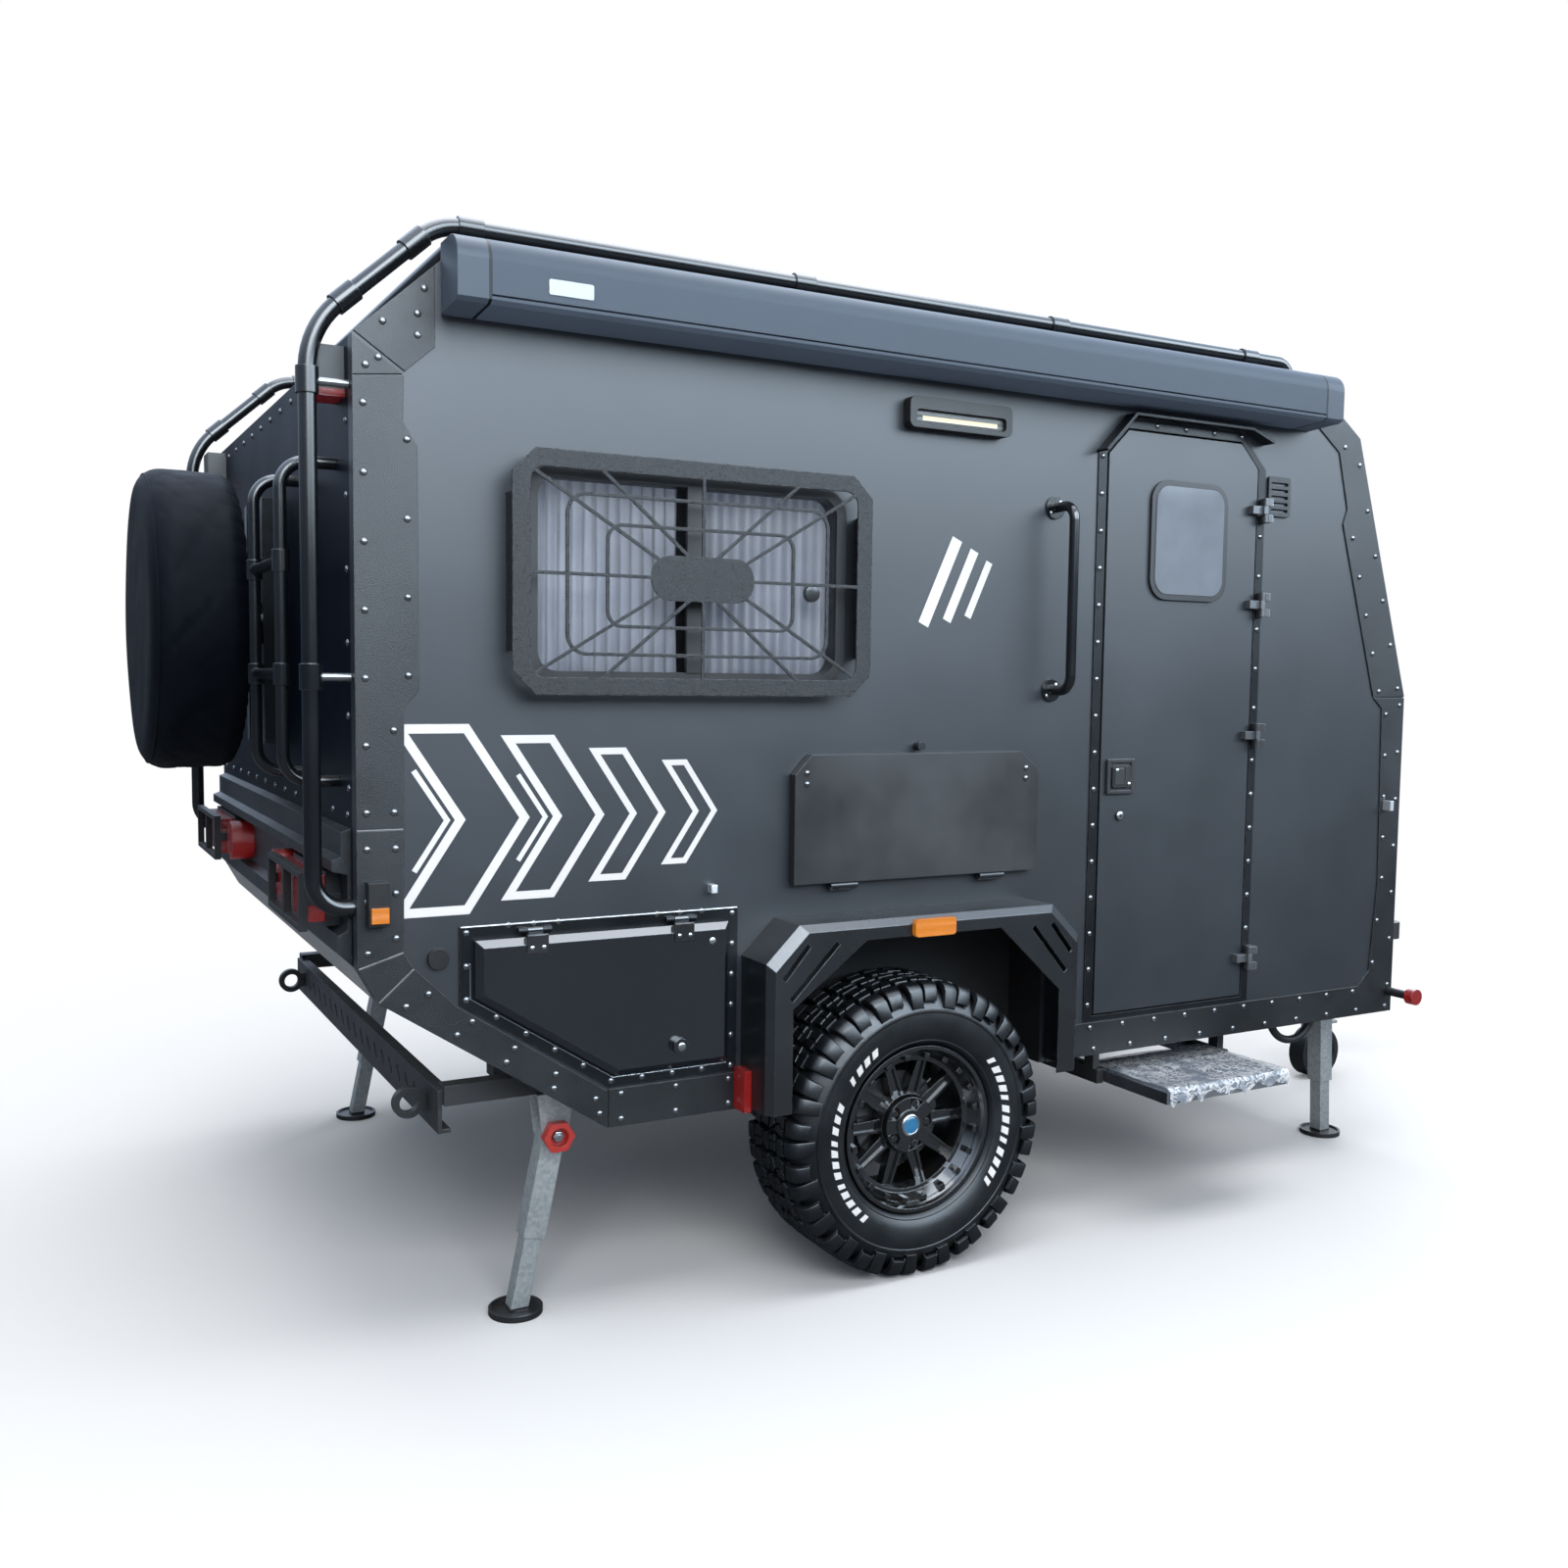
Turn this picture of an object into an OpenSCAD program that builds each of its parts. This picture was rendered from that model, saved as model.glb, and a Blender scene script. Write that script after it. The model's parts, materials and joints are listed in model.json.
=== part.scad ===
// Off-road caravan trailer, parked level on its wheels, legs and jockey wheel with the entry step out.
// X runs forward to the coupling, Y to the left and Z up, in mm.
// The origin is on the ground below the middle of the axle.

/* [Body shell] */
// Width over the two side walls
body_w = 2020; // [1980:10:2060]
// Rear face behind the axle
rear_len = 1400; // [1380:5:1440]
// Front face ahead of the axle
front_len = 1990; // [1970:5:2040]
// Thickness of the wall panels
wall_t = 36; // [32:1:40]
// Lower edge of the side walls above the ground
sill_z = 470; // [460:5:480]
// Underside of the floor above the ground
floor_z = 590; // [580:5:600]
// Roof top above the ground
roof_z = 2470; // [2460:5:2500]
// Lower edge of the rear face above the ground
tail_z = 905; // [895:5:915]
// Upper edge of the rear face below the roof
tail_drop = 195; // [185:5:205]
// Slope below the tail, from the rear face forward to the sill
departure_run = 585; // [570:5:600]
// Slope from the upper edge of the rear face forward to the roof
roof_slope_run = 213; // [205:1:220]
// Height where the front face starts to lean back
knee_z = 1518; // [1500:2:1540]
// Brow's lower edge below the roof
brow_drop = 138; // [130:2:150]
// Brow's lower edge behind the front face
brow_back = 262; // [255:1:270]
// Brow's upper edge behind the front face
brow_top_back = 460; // [450:1:470]
// Thickness of the corner and sill plates
plate_t = 4; // [3:1:5]
// Seam between two corner plates
plate_seam = 4; // [2:1:6]

/* [Entry door] */
// Rear edge of the door leaf ahead of the axle
door_x = 695; // [690:1:705]
// Width of the door leaf
door_w = 585; // [575:1:590]
// Lower edge of the door leaf above the ground
door_z = 592; // [588:1:596]
// Upper edge of the door leaf below the roof
door_drop = 200; // [190:2:210]
// Cut of the upper door corners
door_cut = 70; // [60:1:80]
// Gap round the door leaf
door_gap = 6; // [5:0.5:8]
// Width of the door frame strip
door_strip = 36; // [30:1:40]
// Rain hood depth out from the wall
hood_d = 45; // [35:1:50]
// Width of the door window ring
door_window_w = 300; // [280:2:310]
// Height of the door window ring
door_window_h = 345; // [330:2:360]
// Hinge axis out from the wall
hinge_out = 26; // [24:1:30]

/* [Windows and guards] */
// Middle of the side window ahead of the rear face
window_in = 802; // [790:1:815]
// Middle of the side window on the way from the shut table to the roof
window_place = 0.382; // [0.37:0.001:0.39]
// Width of the side window opening
window_w = 790; // [770:2:810]
// Height of the side window opening
window_h = 440; // [430:2:450]
// Width of the window guard
guard_w = 940; // [920:2:960]
// Height of the window guard
guard_h = 550; // [540:2:560]
// Guard face out from the wall
guard_out = 63; // [55:1:70]
// Width of the guard's bars
bar_w = 8; // [6:0.5:10]

/* [Lockers and table] */
// Rear edge of the locker lid ahead of the rear face
lid_in = 258; // [250:1:265]
// Front edge of the locker lid behind the axle
lid_x1 = 502; // [495:1:510]
// Upper edge of the locker lid
lid_z1 = 953; // [945:1:960]
// Lower edge of the locker lid
lid_z0 = 602; // [598:1:608]
// Thickness of the locker lid
lid_t = 30; // [24:1:36]
// Rear edge of the folding table behind the axle
table_x0 = 322; // [315:1:330]
// Front edge of the folding table ahead of the axle
table_x1 = 450; // [440:1:460]
// Hinge line of the folding table
table_z = 1024; // [1015:1:1030]
// Height of the folding table when shut
table_h = 338; // [330:1:345]
// Thickness of the folding table
table_t = 25; // [20:1:28]

/* [Wheels and axle] */
// Radius of the tyre to the tips of its lugs
tyre_r = 388; // [380:1:394]
// Width of the tyre
tyre_w = 265; // [255:1:275]
// Middle of the tyre out from the side wall
wheel_out = 25; // [20:1:30]
// Radius of the rim seat
rim_r = 200; // [196:1:206]
// Lugs round each shoulder of the tyre
tyre_lugs = 34; // [30:2:40]
// Height of the lugs
lug_h = 15; // [10:1:18]
// Number of wheel spokes
spokes = 10; // [6:1:10]
// Flare depth out from the side wall
flare_d = 150; // [140:1:160]
// Thickness of the flare sheet
flare_t = 5; // [4:1:6]
// Width of the chamfer along the flare's outer edge
flare_c = 18; // [12:1:24]
// Depth of the wheel well in from the side wall
well_d = 150; // [140:1:160]

/* [Chassis] */
// Height of the main rails
rail_h = 90; // [80:1:95]
// Width of the main rails
rail_w = 60; // [50:1:70]
// Middle of a main rail from the middle of the trailer
rail_y = 550; // [530:1:570]
// Rear beam ahead of the rear face
beam_ahead = 210; // [200:1:220]
// Side of the square cross members
cross_s = 48; // [40:1:50]
// Coupling ball centre ahead of the axle
ball_x = 3260; // [3200:5:3320]
// Coupling ball centre above the ground
ball_z = 480; // [470:1:490]
// Radius of the coupling socket
ball_r = 25.5; // [25.2:0.1:26]

/* [Stands] */
// Side of the square leg tubes
leg_s = 56; // [50:1:60]
// Rear leg pivot ahead of the rear face
rear_leg_ahead = 490; // [480:1:495]
// Rear leg pivot above the ground
leg_rz = 440; // [435:1:445]
// Rear foot behind its pivot
leg_lean = 90; // [80:1:95]
// Rear leg in from the side wall
rear_leg_in = 130; // [125:1:135]
// Front leg pivot behind the front face
front_leg_back = 90; // [80:1:100]
// Front leg pivot above the ground
leg_fz = 490; // [485:1:495]
// Front leg in from the side wall
front_leg_in = 210; // [200:1:220]
// Jockey wheel radius
jockey_r = 100; // [95:1:105]
// Tread of the entry step above the ground
step_z = 400; // [390:1:410]

/* [Roof, awning and rear] */
// Radius of the rack tubes
rack_r = 19; // [16:0.5:21]
// Rack tubes in from the side wall
rack_in = 25; // [22:1:30]
// Rack tube axis above the roof
rack_up = 64; // [58:1:70]
// Rack upright behind the rear face
rack_back = 87; // [80:1:95]
// Depth of the awning case
awning_d = 128; // [118:1:135]
// Radius of the awning's upper edge
awning_round = 54; // [40:1:60]
// Rear end of the awning ahead of the rear face
awning_ahead = 192; // [188:1:200]
// Front end of the awning behind the front face
awning_back = 490; // [485:1:510]
// Radius of the covered spare wheel
spare_r = 402; // [395:1:408]
// Thickness of the covered spare wheel
spare_t = 240; // [230:1:250]
// Gap from the ladder's inner rail to the spare wheel
spare_gap = 133; // [125:1:150]
// Middle of the spare wheel below the upper edge of the rear face
spare_drop = 585; // [575:1:595]
// Ladder rail axis behind the rear face
ladder_out = 120; // [110:1:130]
// Ladder's outer rail in from the side wall
ladder_in = 175; // [165:1:185]
// Distance between the ladder rails
ladder_w = 360; // [350:1:370]
// Height of the ladder
ladder_h = 710; // [690:5:730]
// Top of the ladder below the upper edge of the rear face
ladder_drop = 255; // [245:1:265]

/* [Hidden] */
$fn = 0;
$fa = 6;
$fs = 2;
gap = 0.5;
hw = body_w / 2;
iw = hw - wall_t;
rx = -rear_len;
fx = front_len;
p0 = [rx, tail_z];
p1 = [rx + 42, tail_z - 77];
p2 = [rx + departure_run, sill_z];
p3 = [fx, sill_z];
p4 = [fx, knee_z];
p5 = [fx - brow_back, roof_z - brow_drop];
p6 = [fx - brow_top_back, roof_z];
p7 = [rx + roof_slope_run, roof_z];
p8 = [rx, roof_z - tail_drop];
side_profile = [p0, p1, p2, p3, p4, p5, p6, p7, p8];
// Point where the tail slope meets the underside of the floor
tail_run = (p1[1] - floor_z) / (p1[1] - p2[1]);
pf = p1 + tail_run * (p2 - p1);
pg = [fx - wall_t, floor_z];
slope_s = tail_drop / roof_slope_run;
door_x1 = door_x + door_w;
door_z1 = roof_z - door_drop;
door_h = door_z1 - door_z;
hinge_x = door_x1 + 17;
hinge_y = -(hw + hinge_out);
door_face = hw + 6;
wheel_y = hw + wheel_out;
well_y = hw - well_d;
well_x0 = -440;
well_x1 = 505;
well_z = 935;
well_t = 3;
lid_x0 = rear_len - lid_in;
lid_y = hw + plate_t + gap;
lid_pivot_y = lid_y + 8;
lid_pivot_z = lid_z1 + 14;
table_y = hw + 22;
table_top = table_z + table_h;
window_x = rear_len - window_in;
window_z = table_top + window_place * (roof_z - table_top);
rack_y = hw - rack_in;
rack_z = roof_z + rack_up;
rack_x = rx - rack_back;
axle_z = tyre_r;
beam_x = 210;
beam_z = 455;
arm_y = hw - 210;
drum_y = wheel_y - 60;
step_y1 = hw + 215;
step_y0 = hw - 140;
slide_y0 = hw - 450;
step_x0 = door_x + 95;
step_x1 = door_x1 - 5;
leg_rx = rear_len - rear_leg_ahead;
leg_ry = hw - rear_leg_in;
leg_fx = front_len - front_leg_back;
leg_fy = hw - front_leg_in;
awning_x0 = rear_len - awning_ahead;
awning_x1 = front_len - awning_back;
ladder_y = hw - ladder_in;
ladder_z1 = p8[1] - ladder_drop;
ladder_z0 = ladder_z1 - ladder_h;
rung_zs = [ladder_z1 - 220, ladder_z1 - 470];
spare_y = ladder_w - ladder_y + spare_gap + spare_r;
spare_z = p8[1] - spare_drop;
beam_x0 = rx + beam_ahead;
beam_y = hw - 125;
jack_r = 30;
arm_a = [fx - 750, -rail_y + 40];
arm_b = [ball_x - 230, -62];
arm_d = (arm_b - arm_a) / norm(arm_b - arm_a);
jockey_p = arm_a + 1310 * arm_d + 90 * [arm_d[1], -arm_d[0]];
jockey_x = jockey_p[0];
jockey_y = jockey_p[1];

function unit(v) = v / norm(v);
function left2(d) = [-d[1], d[0]];
function inset(a, b, c, t) = let (n = left2(unit(b - a)), m = left2(unit(c - b))) b + t * (n + m) / (1 + n * m);
function basis(d) = let (a = abs(d[2]) < 0.9 ? [0, 0, 1] : [1, 0, 0], x = unit(cross(a, d))) [x, cross(d, x), d];
function arch(x0, x1, z0, z1, c0, c1) =
    [[x0, z0], [x1, z0], [x1, z1 - c1[1]], [x1 - c1[0], z1], [x0 + c0[0], z1], [x0, z1 - c0[1]]];

// Plate in the XZ plane from y = y0 outwards to the right by t
module xz_plate(y0, t) translate([0, y0, 0]) rotate([90, 0, 0]) linear_extrude(t) children();
// Profile in the YZ plane run along X from x0 by len
module yz_run(x0, len) translate([x0, 0, 0]) rotate([90, 0, 90]) linear_extrude(len) children();
module both_sides() { children(); mirror([0, 1, 0]) children(); }
module box(a, b) translate(a) cube(b - a);
module y_rod(x, y0, y1, z, r) translate([x, y0, z]) rotate([-90, 0, 0]) cylinder(r = r, h = y1 - y0);
module x_rod(x0, x1, y, z, r) translate([x0, y, z]) rotate([0, 90, 0]) cylinder(r = r, h = x1 - x0);
module rounded(x0, z0, x1, z1, r) {
    translate([x0 + r, z0]) square([x1 - x0 - 2 * r, z1 - z0]);
    translate([x0, z0 + r]) square([x1 - x0, z1 - z0 - 2 * r]);
    for (x = [x0 + r, x1 - r], z = [z0 + r, z1 - r]) translate([x, z]) circle(r);
}
module cut_corners(x0, z0, x1, z1, c)
    polygon([[x0 + c, z0], [x1 - c, z0], [x1, z0 + c], [x1, z1 - c], [x1 - c, z1], [x0 + c, z1], [x0, z1 - c], [x0, z0 + c]]);
module bar(a, b, w) let (d = unit(b - a), n = left2(d) * w / 2) polygon([a - n, b - n, b + n, a + n]);
module along(a, d) let (m = basis(d))
    multmatrix([for (i = [0:2]) [m[0][i], m[1][i], m[2][i], a[i]]]) children();
module rod(a, b, r) along(a, unit(b - a)) cylinder(r = r, h = norm(b - a));
// Round tube on straight runs, with a bend radius for each corner
function corner_cut(p, i, bend) = i == 0 || i == len(p) - 1 ? 0 :
    let (u = unit(p[i] - p[i - 1]), v = unit(p[i + 1] - p[i])) bend[i - 1] * tan(acos(u * v) / 2);
module bent_tube(p, r, bend) {
    n = len(p);
    cut = [for (i = [0:n - 1]) corner_cut(p, i, bend)];
    for (i = [0:n - 2]) let (u = unit(p[i + 1] - p[i])) rod(p[i] + u * cut[i], p[i + 1] - u * cut[i + 1], r);
    for (i = [1:n - 2]) let (u = unit(p[i] - p[i - 1]), v = unit(p[i + 1] - p[i]), t = acos(u * v),
        m = unit(v - u * (u * v)), c = p[i] - u * cut[i] + m * bend[i - 1], z = cross(-m, u))
        multmatrix([for (k = [0:2]) [-m[k], u[k], z[k], c[k]]])
            rotate_extrude(angle = t) translate([bend[i - 1], 0]) circle(r);
}

// Body panels
module door_outline(g) polygon([[door_x - g, door_z - g], [door_x1 + g, door_z - g], [door_x1 + g, door_z1 - door_cut],
    [door_x1 - door_cut, door_z1 + g], [door_x + door_cut, door_z1 + g], [door_x - g, door_z1 - door_cut]]);
function lid_outline(g) = [[-lid_x0 - g, lid_z1 + g], [-lid_x0 - g, lid_z1 - 131 - g * 0.5],
    [-lid_x0 + 341 - g * 0.3, lid_z0 - g], [-lid_x1 + g, lid_z0 - g], [-lid_x1 + g, lid_z1 + g]];
module window_outline(g) rounded(-window_x - window_w / 2 - g, window_z - window_h / 2 - g,
    -window_x + window_w / 2 + g, window_z + window_h / 2 + g, 45 + g);
module side_wall() difference() {
    polygon(side_profile);
    polygon(arch(well_x0, well_x1, sill_z - 50, well_z, [95, 92], [95, 92]));
    window_outline(0);
    polygon(lid_outline(-34));
}
module side_wall_right() color([0.16, 0.17, 0.19]) xz_plate(-iw, wall_t) difference() {
    side_wall();
    door_outline(door_gap);
}
module side_wall_left() color([0.16, 0.17, 0.19]) mirror([0, 1, 0]) xz_plate(-iw, wall_t) side_wall();
module cross_panel(points) xz_plate(iw, 2 * iw) polygon(points);
module roof_panel() color([0.16, 0.17, 0.19]) cross_panel([p5, p6, p7, p8,
    inset(p7, p8, p0, wall_t), inset(p6, p7, p8, wall_t), inset(p5, p6, p7, wall_t), inset(p4, p5, p6, wall_t)]);
module front_panel() color([0.16, 0.17, 0.19])
    cross_panel([[fx, floor_z - rail_h], p4, p5, inset(p4, p5, p6, wall_t), inset(p3, p4, p5, wall_t),
        [fx - wall_t, floor_z - rail_h]]);
module rear_panel() color([0.16, 0.17, 0.19])
    cross_panel([p8, p0, inset(p8, p0, p1, wall_t), inset(p7, p8, p0, wall_t)]);
module floor_panel() color([0.1, 0.1, 0.11]) difference() {
    cross_panel([p0, p1, pf, pg, pg + [0, wall_t], inset(p1, pf, pg, wall_t), inset(p0, p1, pf, wall_t),
        inset(p8, p0, p1, wall_t)]);
    both_sides() box([well_x0, -hw, floor_z - 50], [well_x1, -well_y, floor_z + 150]);
}

// Riveted plates on the corners and sills
module corner_armour() color([0.2, 0.2, 0.21]) both_sides() xz_plate(-hw, plate_t) {
    s = plate_seam;
    polygon([p8 + [s, s], p8 + [178, 178 * slope_s], p8 + [178, -11], p8 + [112, -70]]);
    polygon([p8 + [0, -s], p8 + [107, -76], p8 + [0, -88]]);
    polygon([p8 + [0, -92], p8 + [110, -80], p8 + [107, -177], p8 + [138, -227], [rx + 138, 1517], [rx + 105, 1480],
        [rx + 103, 1210 + s], [rx, 1210 + s]]);
    polygon([[rx, 1210], [rx + 103, 1210], p0 + [101, 34], p0 + [0, s]]);
    polygon([p0, p0 + [101, 34 - s], p0 + [122, -5], p1]);
    polygon([p1 + [s, -s / 2], p0 + [126, -8], [-lid_x0 - 38, lid_z1 - 150], [-lid_x0 + 322, lid_z0 - 38],
        p2 + [0, 94], p2]);
    polygon([p2 + [s, 0], p2 + [s, 94], [-460, sill_z + 94], [-460, sill_z]]);
    polygon([[525, sill_z], [525, sill_z + 97], [fx - 166, sill_z + 97], [fx - 116, sill_z + 143], [fx - 90, sill_z + 438],
        [fx - 106, knee_z - 38], [fx - 148, knee_z - s], p4 - [0, s], p3]);
    polygon([p4 - [150, 0], p4, p5, p6, p6 - [20, 0], p6 - [20, 98], p5 - [91, 51], p5 - [45, 224], p5 - [62, 271]]);
}

// Wheel arches
module flare_outline(g) polygon(arch(-455 + g, 520 - g, 485, 950 - g, [92, 90], [92, 90]));
module flare_block(g, d, c) {
    xz_plate(-hw + g, d - c + g) flare_outline(g);
    hull() {
        xz_plate(-hw - d + c + 0.1, 0.1) flare_outline(g);
        xz_plate(-hw - d + 0.1, 0.1) flare_outline(g + c);
    }
}
module flare() difference() {
    flare_block(0, flare_d, flare_c);
    translate([0, 0, -flare_t]) flare_block(flare_t, flare_d - flare_t, flare_c - 2);
    xz_plate(-hw - 20, flare_d) {
        polygon(arch(-388, 444, 470, 902, [212, 156], [202, 184]));
        for (q = [[[-432, 800], [-330, 918]], [[-428, 735], [-232, 930]], [[497, 800], [400, 918]], [[492, 735], [325, 925]]])
            bar(q[0] + 0.17 * (q[1] - q[0]), q[1] - 0.15 * (q[1] - q[0]), 13);
    }
}
module wheel_flares() color([0.12, 0.13, 0.14]) both_sides() flare();
module wheel_wells() color([0.06, 0.06, 0.07]) both_sides() {
    xz_plate(-well_y - well_t, hw - well_y - well_t) difference() {
        polygon(arch(well_x0, well_x1, sill_z, well_z, [95, 92], [95, 92]));
        polygon(arch(well_x0 + well_t, well_x1 - well_t, sill_z - 20, well_z - well_t, [94, 91], [94, 91]));
    }
    xz_plate(-well_y, well_t) polygon(arch(well_x0, well_x1, sill_z, well_z, [95, 92], [95, 92]));
}

// Chassis below the floor
cross_xs = [-leg_rx - 15, -560, step_x0 - 42, step_x1 - 6, fx - 110];
module chassis_rails() color([0.07, 0.07, 0.08]) both_sides()
    box([-leg_rx - 50, -rail_y - rail_w / 2, floor_z - rail_h], [fx - wall_t, -rail_y + rail_w / 2, floor_z]);
module chassis_cross_members() color([0.07, 0.07, 0.08]) for (x = cross_xs) {
    box([x, -rail_y + rail_w / 2, floor_z - cross_s], [x + cross_s, rail_y - rail_w / 2, floor_z]);
    both_sides() box([x, -iw, floor_z - cross_s], [x + cross_s, -rail_y - rail_w / 2, floor_z]);
}
eye_z = floor_z - 66;
module rear_beam() color([0.07, 0.07, 0.08]) {
    difference() {
        box([beam_x0, -beam_y, eye_z - 52], [beam_x0 + 30, beam_y, eye_z + 52]);
        box([beam_x0 + 10, -hw, eye_z - 42], [beam_x0 + 40, hw, eye_z + 42]);
        for (i = [-9:9]) translate([beam_x0 - 10, i * beam_y / 10.5, eye_z]) rotate([90, 0, 90]) linear_extrude(15)
            bar([-16, -18], [16, 18], 16);
    }
    both_sides() box([beam_x0 + 10, -leg_ry - cross_s / 2, floor_z - cross_s], [cross_xs[0], -leg_ry + cross_s / 2, floor_z]);
}
module tow_eyes() color([0.1, 0.1, 0.1]) both_sides() translate([beam_x0 - 42, -hw + 250, eye_z]) rotate([90, 0, 0]) {
    difference() {
        union() { cylinder(r = 38, h = 20); translate([0, -22, 0]) cube([42, 44, 20]); }
        translate([0, 0, -5]) cylinder(r = 22, h = 30);
    }
}
module axle_beam() color([0.08, 0.08, 0.09]) {
    box([beam_x - 35, -arm_y, beam_z - 35], [beam_x + 35, arm_y, beam_z + 35]);
    both_sides() box([beam_x - 60, -rail_y - 30, beam_z + 35], [beam_x + 60, -rail_y + 30, floor_z - rail_h]);
}
module hub_arms() color([0.09, 0.09, 0.1]) both_sides() {
    xz_plate(-arm_y, 34) {
        translate([beam_x, beam_z]) circle(58);
        translate([0, axle_z]) circle(48);
        polygon([[beam_x, beam_z + 56], [0, axle_z + 46], [0, axle_z - 46], [beam_x, beam_z - 56]]);
    }
    y_rod(0, -drum_y, -arm_y - 30, axle_z, 36);
    y_rod(0, -wheel_y - 6 + gap, -drum_y + 40, axle_z, 128);
}

// Wheels
function ring(n, r) = [for (i = [0:n - 1]) r * [cos(i * 360 / n), sin(i * 360 / n)]];
// Outline of n lugs, each a share of its pitch, with a corner of one lug straight below the axle
function lug_ring(n, share, r0, r1, turn) = [for (i = [0:n - 1], q = [[-1, r0], [-1, r1], [1, r1], [1, r0]])
    let (a = 270 + (i + turn + (q[0] + 1) * share / 2) * 360 / n) q[1] * [cos(a), sin(a)]];
module lug_row(z0, z1, n, share, turn, slim = 1) translate([0, 0, z0]) linear_extrude(z1 - z0, scale = slim)
    polygon(lug_ring(n, share, tyre_r - lug_h, tyre_r, turn));
module drum(z0, z1, ra, rb) translate([0, 0, z0]) linear_extrude(z1 - z0, scale = rb / ra) polygon(ring(tyre_lugs, ra));
// Shoulder lugs, their claws over the edge, and the side wall
module tyre_side(turn) {
    h = tyre_w / 2;
    lug_row(46, h - 24, tyre_lugs, 0.77, turn);
    lug_row(h - 24, h - 7, tyre_lugs, 0.77, turn, 0.93);
    drum(40, h, tyre_r - lug_h - 3, 318);
}
module tyre_hollow() {
    h = tyre_w / 2;
    drum(-1, 95, rim_r + 2, rim_r + 2);
    drum(94, h - 20, rim_r + 22, rim_r + 22);
    drum(h - 21, h + 1, rim_r + 22, rim_r + 70);
}
module tyre_body() difference() {
    union() {
        lug_row(-36, 36, tyre_lugs / 2, 0.8, 0.3);
        drum(-50, 50, tyre_r - lug_h - 2, tyre_r - lug_h - 2);
        tyre_side(0);
        mirror([0, 0, 1]) tyre_side(0.5);
    }
    tyre_hollow();
    mirror([0, 0, 1]) tyre_hollow();
}
module tyre() translate([0, -wheel_y, axle_z]) rotate([90, 0, 0]) tyre_body();
// Deep rim: flange, lip that slopes in to the ring round the spokes, hub with pockets for the nuts
module rim() translate([0, -wheel_y, axle_z]) rotate([90, 0, 0]) {
    h = tyre_w / 2;
    rotate_extrude() polygon([[rim_r - 10, -100], [rim_r - 1, -100], [rim_r - 1, 94], [rim_r + 20, 94], [rim_r + 20, h - 20],
        [rim_r + 10, h - 20], [rim_r + 5, h - 30], [rim_r - 18, h - 66], [rim_r - 29, h - 68], [rim_r - 29, h - 108],
        [rim_r - 18, h - 108], [rim_r - 10, h - 96]]);
    for (i = [0:2 * spokes - 1]) rotate((i + 0.5) * 180 / spokes) box([rim_r - 16, -8, h - 62], [rim_r - 3, 8, h - 33]);
    for (i = [0:spokes - 1]) rotate(i * 360 / spokes) {
        translate([0, 0, h - 118]) linear_extrude(22) polygon([[60, -20], [rim_r - 24, -14], [rim_r - 24, 14], [60, 20]]);
        for (s = [-1, 1]) translate([0, 0, h - 97]) linear_extrude(8)
            polygon([[60, s * 20], [rim_r - 26, s * 14], [rim_r - 26, s * 8], [60, s * 11]]);
    }
    translate([0, 0, 6]) cylinder(r = 80, h = h - 84);
    difference() {
        translate([0, 0, h - 80]) cylinder(r1 = 80, r2 = 72, h = 16);
        for (i = [0:4]) rotate(i * 72) translate([0, 0, h - 77]) linear_extrude(20) polygon([[42, -9], [67, -24], [67, 24], [42, 9]]);
    }
    for (i = [0:4]) rotate(i * 72) translate([56, 0, h - 79]) cylinder(r = 10, h = 12, $fn = 6);
    translate([0, 0, h - 80]) cylinder(r = 40, h = 20);
}
module wheel_right_tyre() color([0.05, 0.05, 0.05]) tyre();
module wheel_right_rim() color([0.1, 0.1, 0.11]) rim();
module wheel_left_tyre() color([0.05, 0.05, 0.05]) mirror([0, 1, 0]) tyre();
module wheel_left_rim() color([0.1, 0.1, 0.11]) mirror([0, 1, 0]) rim();

// Side windows
module window_frames() color([0.08, 0.08, 0.09]) both_sides() {
    xz_plate(-hw, 14) difference() { window_outline(28); window_outline(0); }
    xz_plate(-hw - 4, 12) bar([-window_x, window_z - window_h / 2 - 2], [-window_x, window_z + window_h / 2 + 2], 44);
}
module window_panes() color([0.3, 0.35, 0.4, 0.5]) both_sides() xz_plate(-hw + 12, 12) window_outline(-gap);
module curtains() color([0.6, 0.63, 0.68]) both_sides() for (x = [-window_x - window_w / 4 - 20, -window_x + window_w / 4 + 20])
    xz_plate(-iw + 20, 20) polygon([[x - 195, window_z - 235], [x + 195, window_z - 235], [x + 195, window_z + 250], [x - 195, window_z + 250]]);
module guard_ring(w, h, r, b) difference() {
    rounded(-window_x - w / 2, window_z - h / 2, -window_x + w / 2, window_z + h / 2, r);
    rounded(-window_x - w / 2 + b, window_z - h / 2 + b, -window_x + w / 2 - b, window_z + h / 2 - b, r - b);
}
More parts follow.
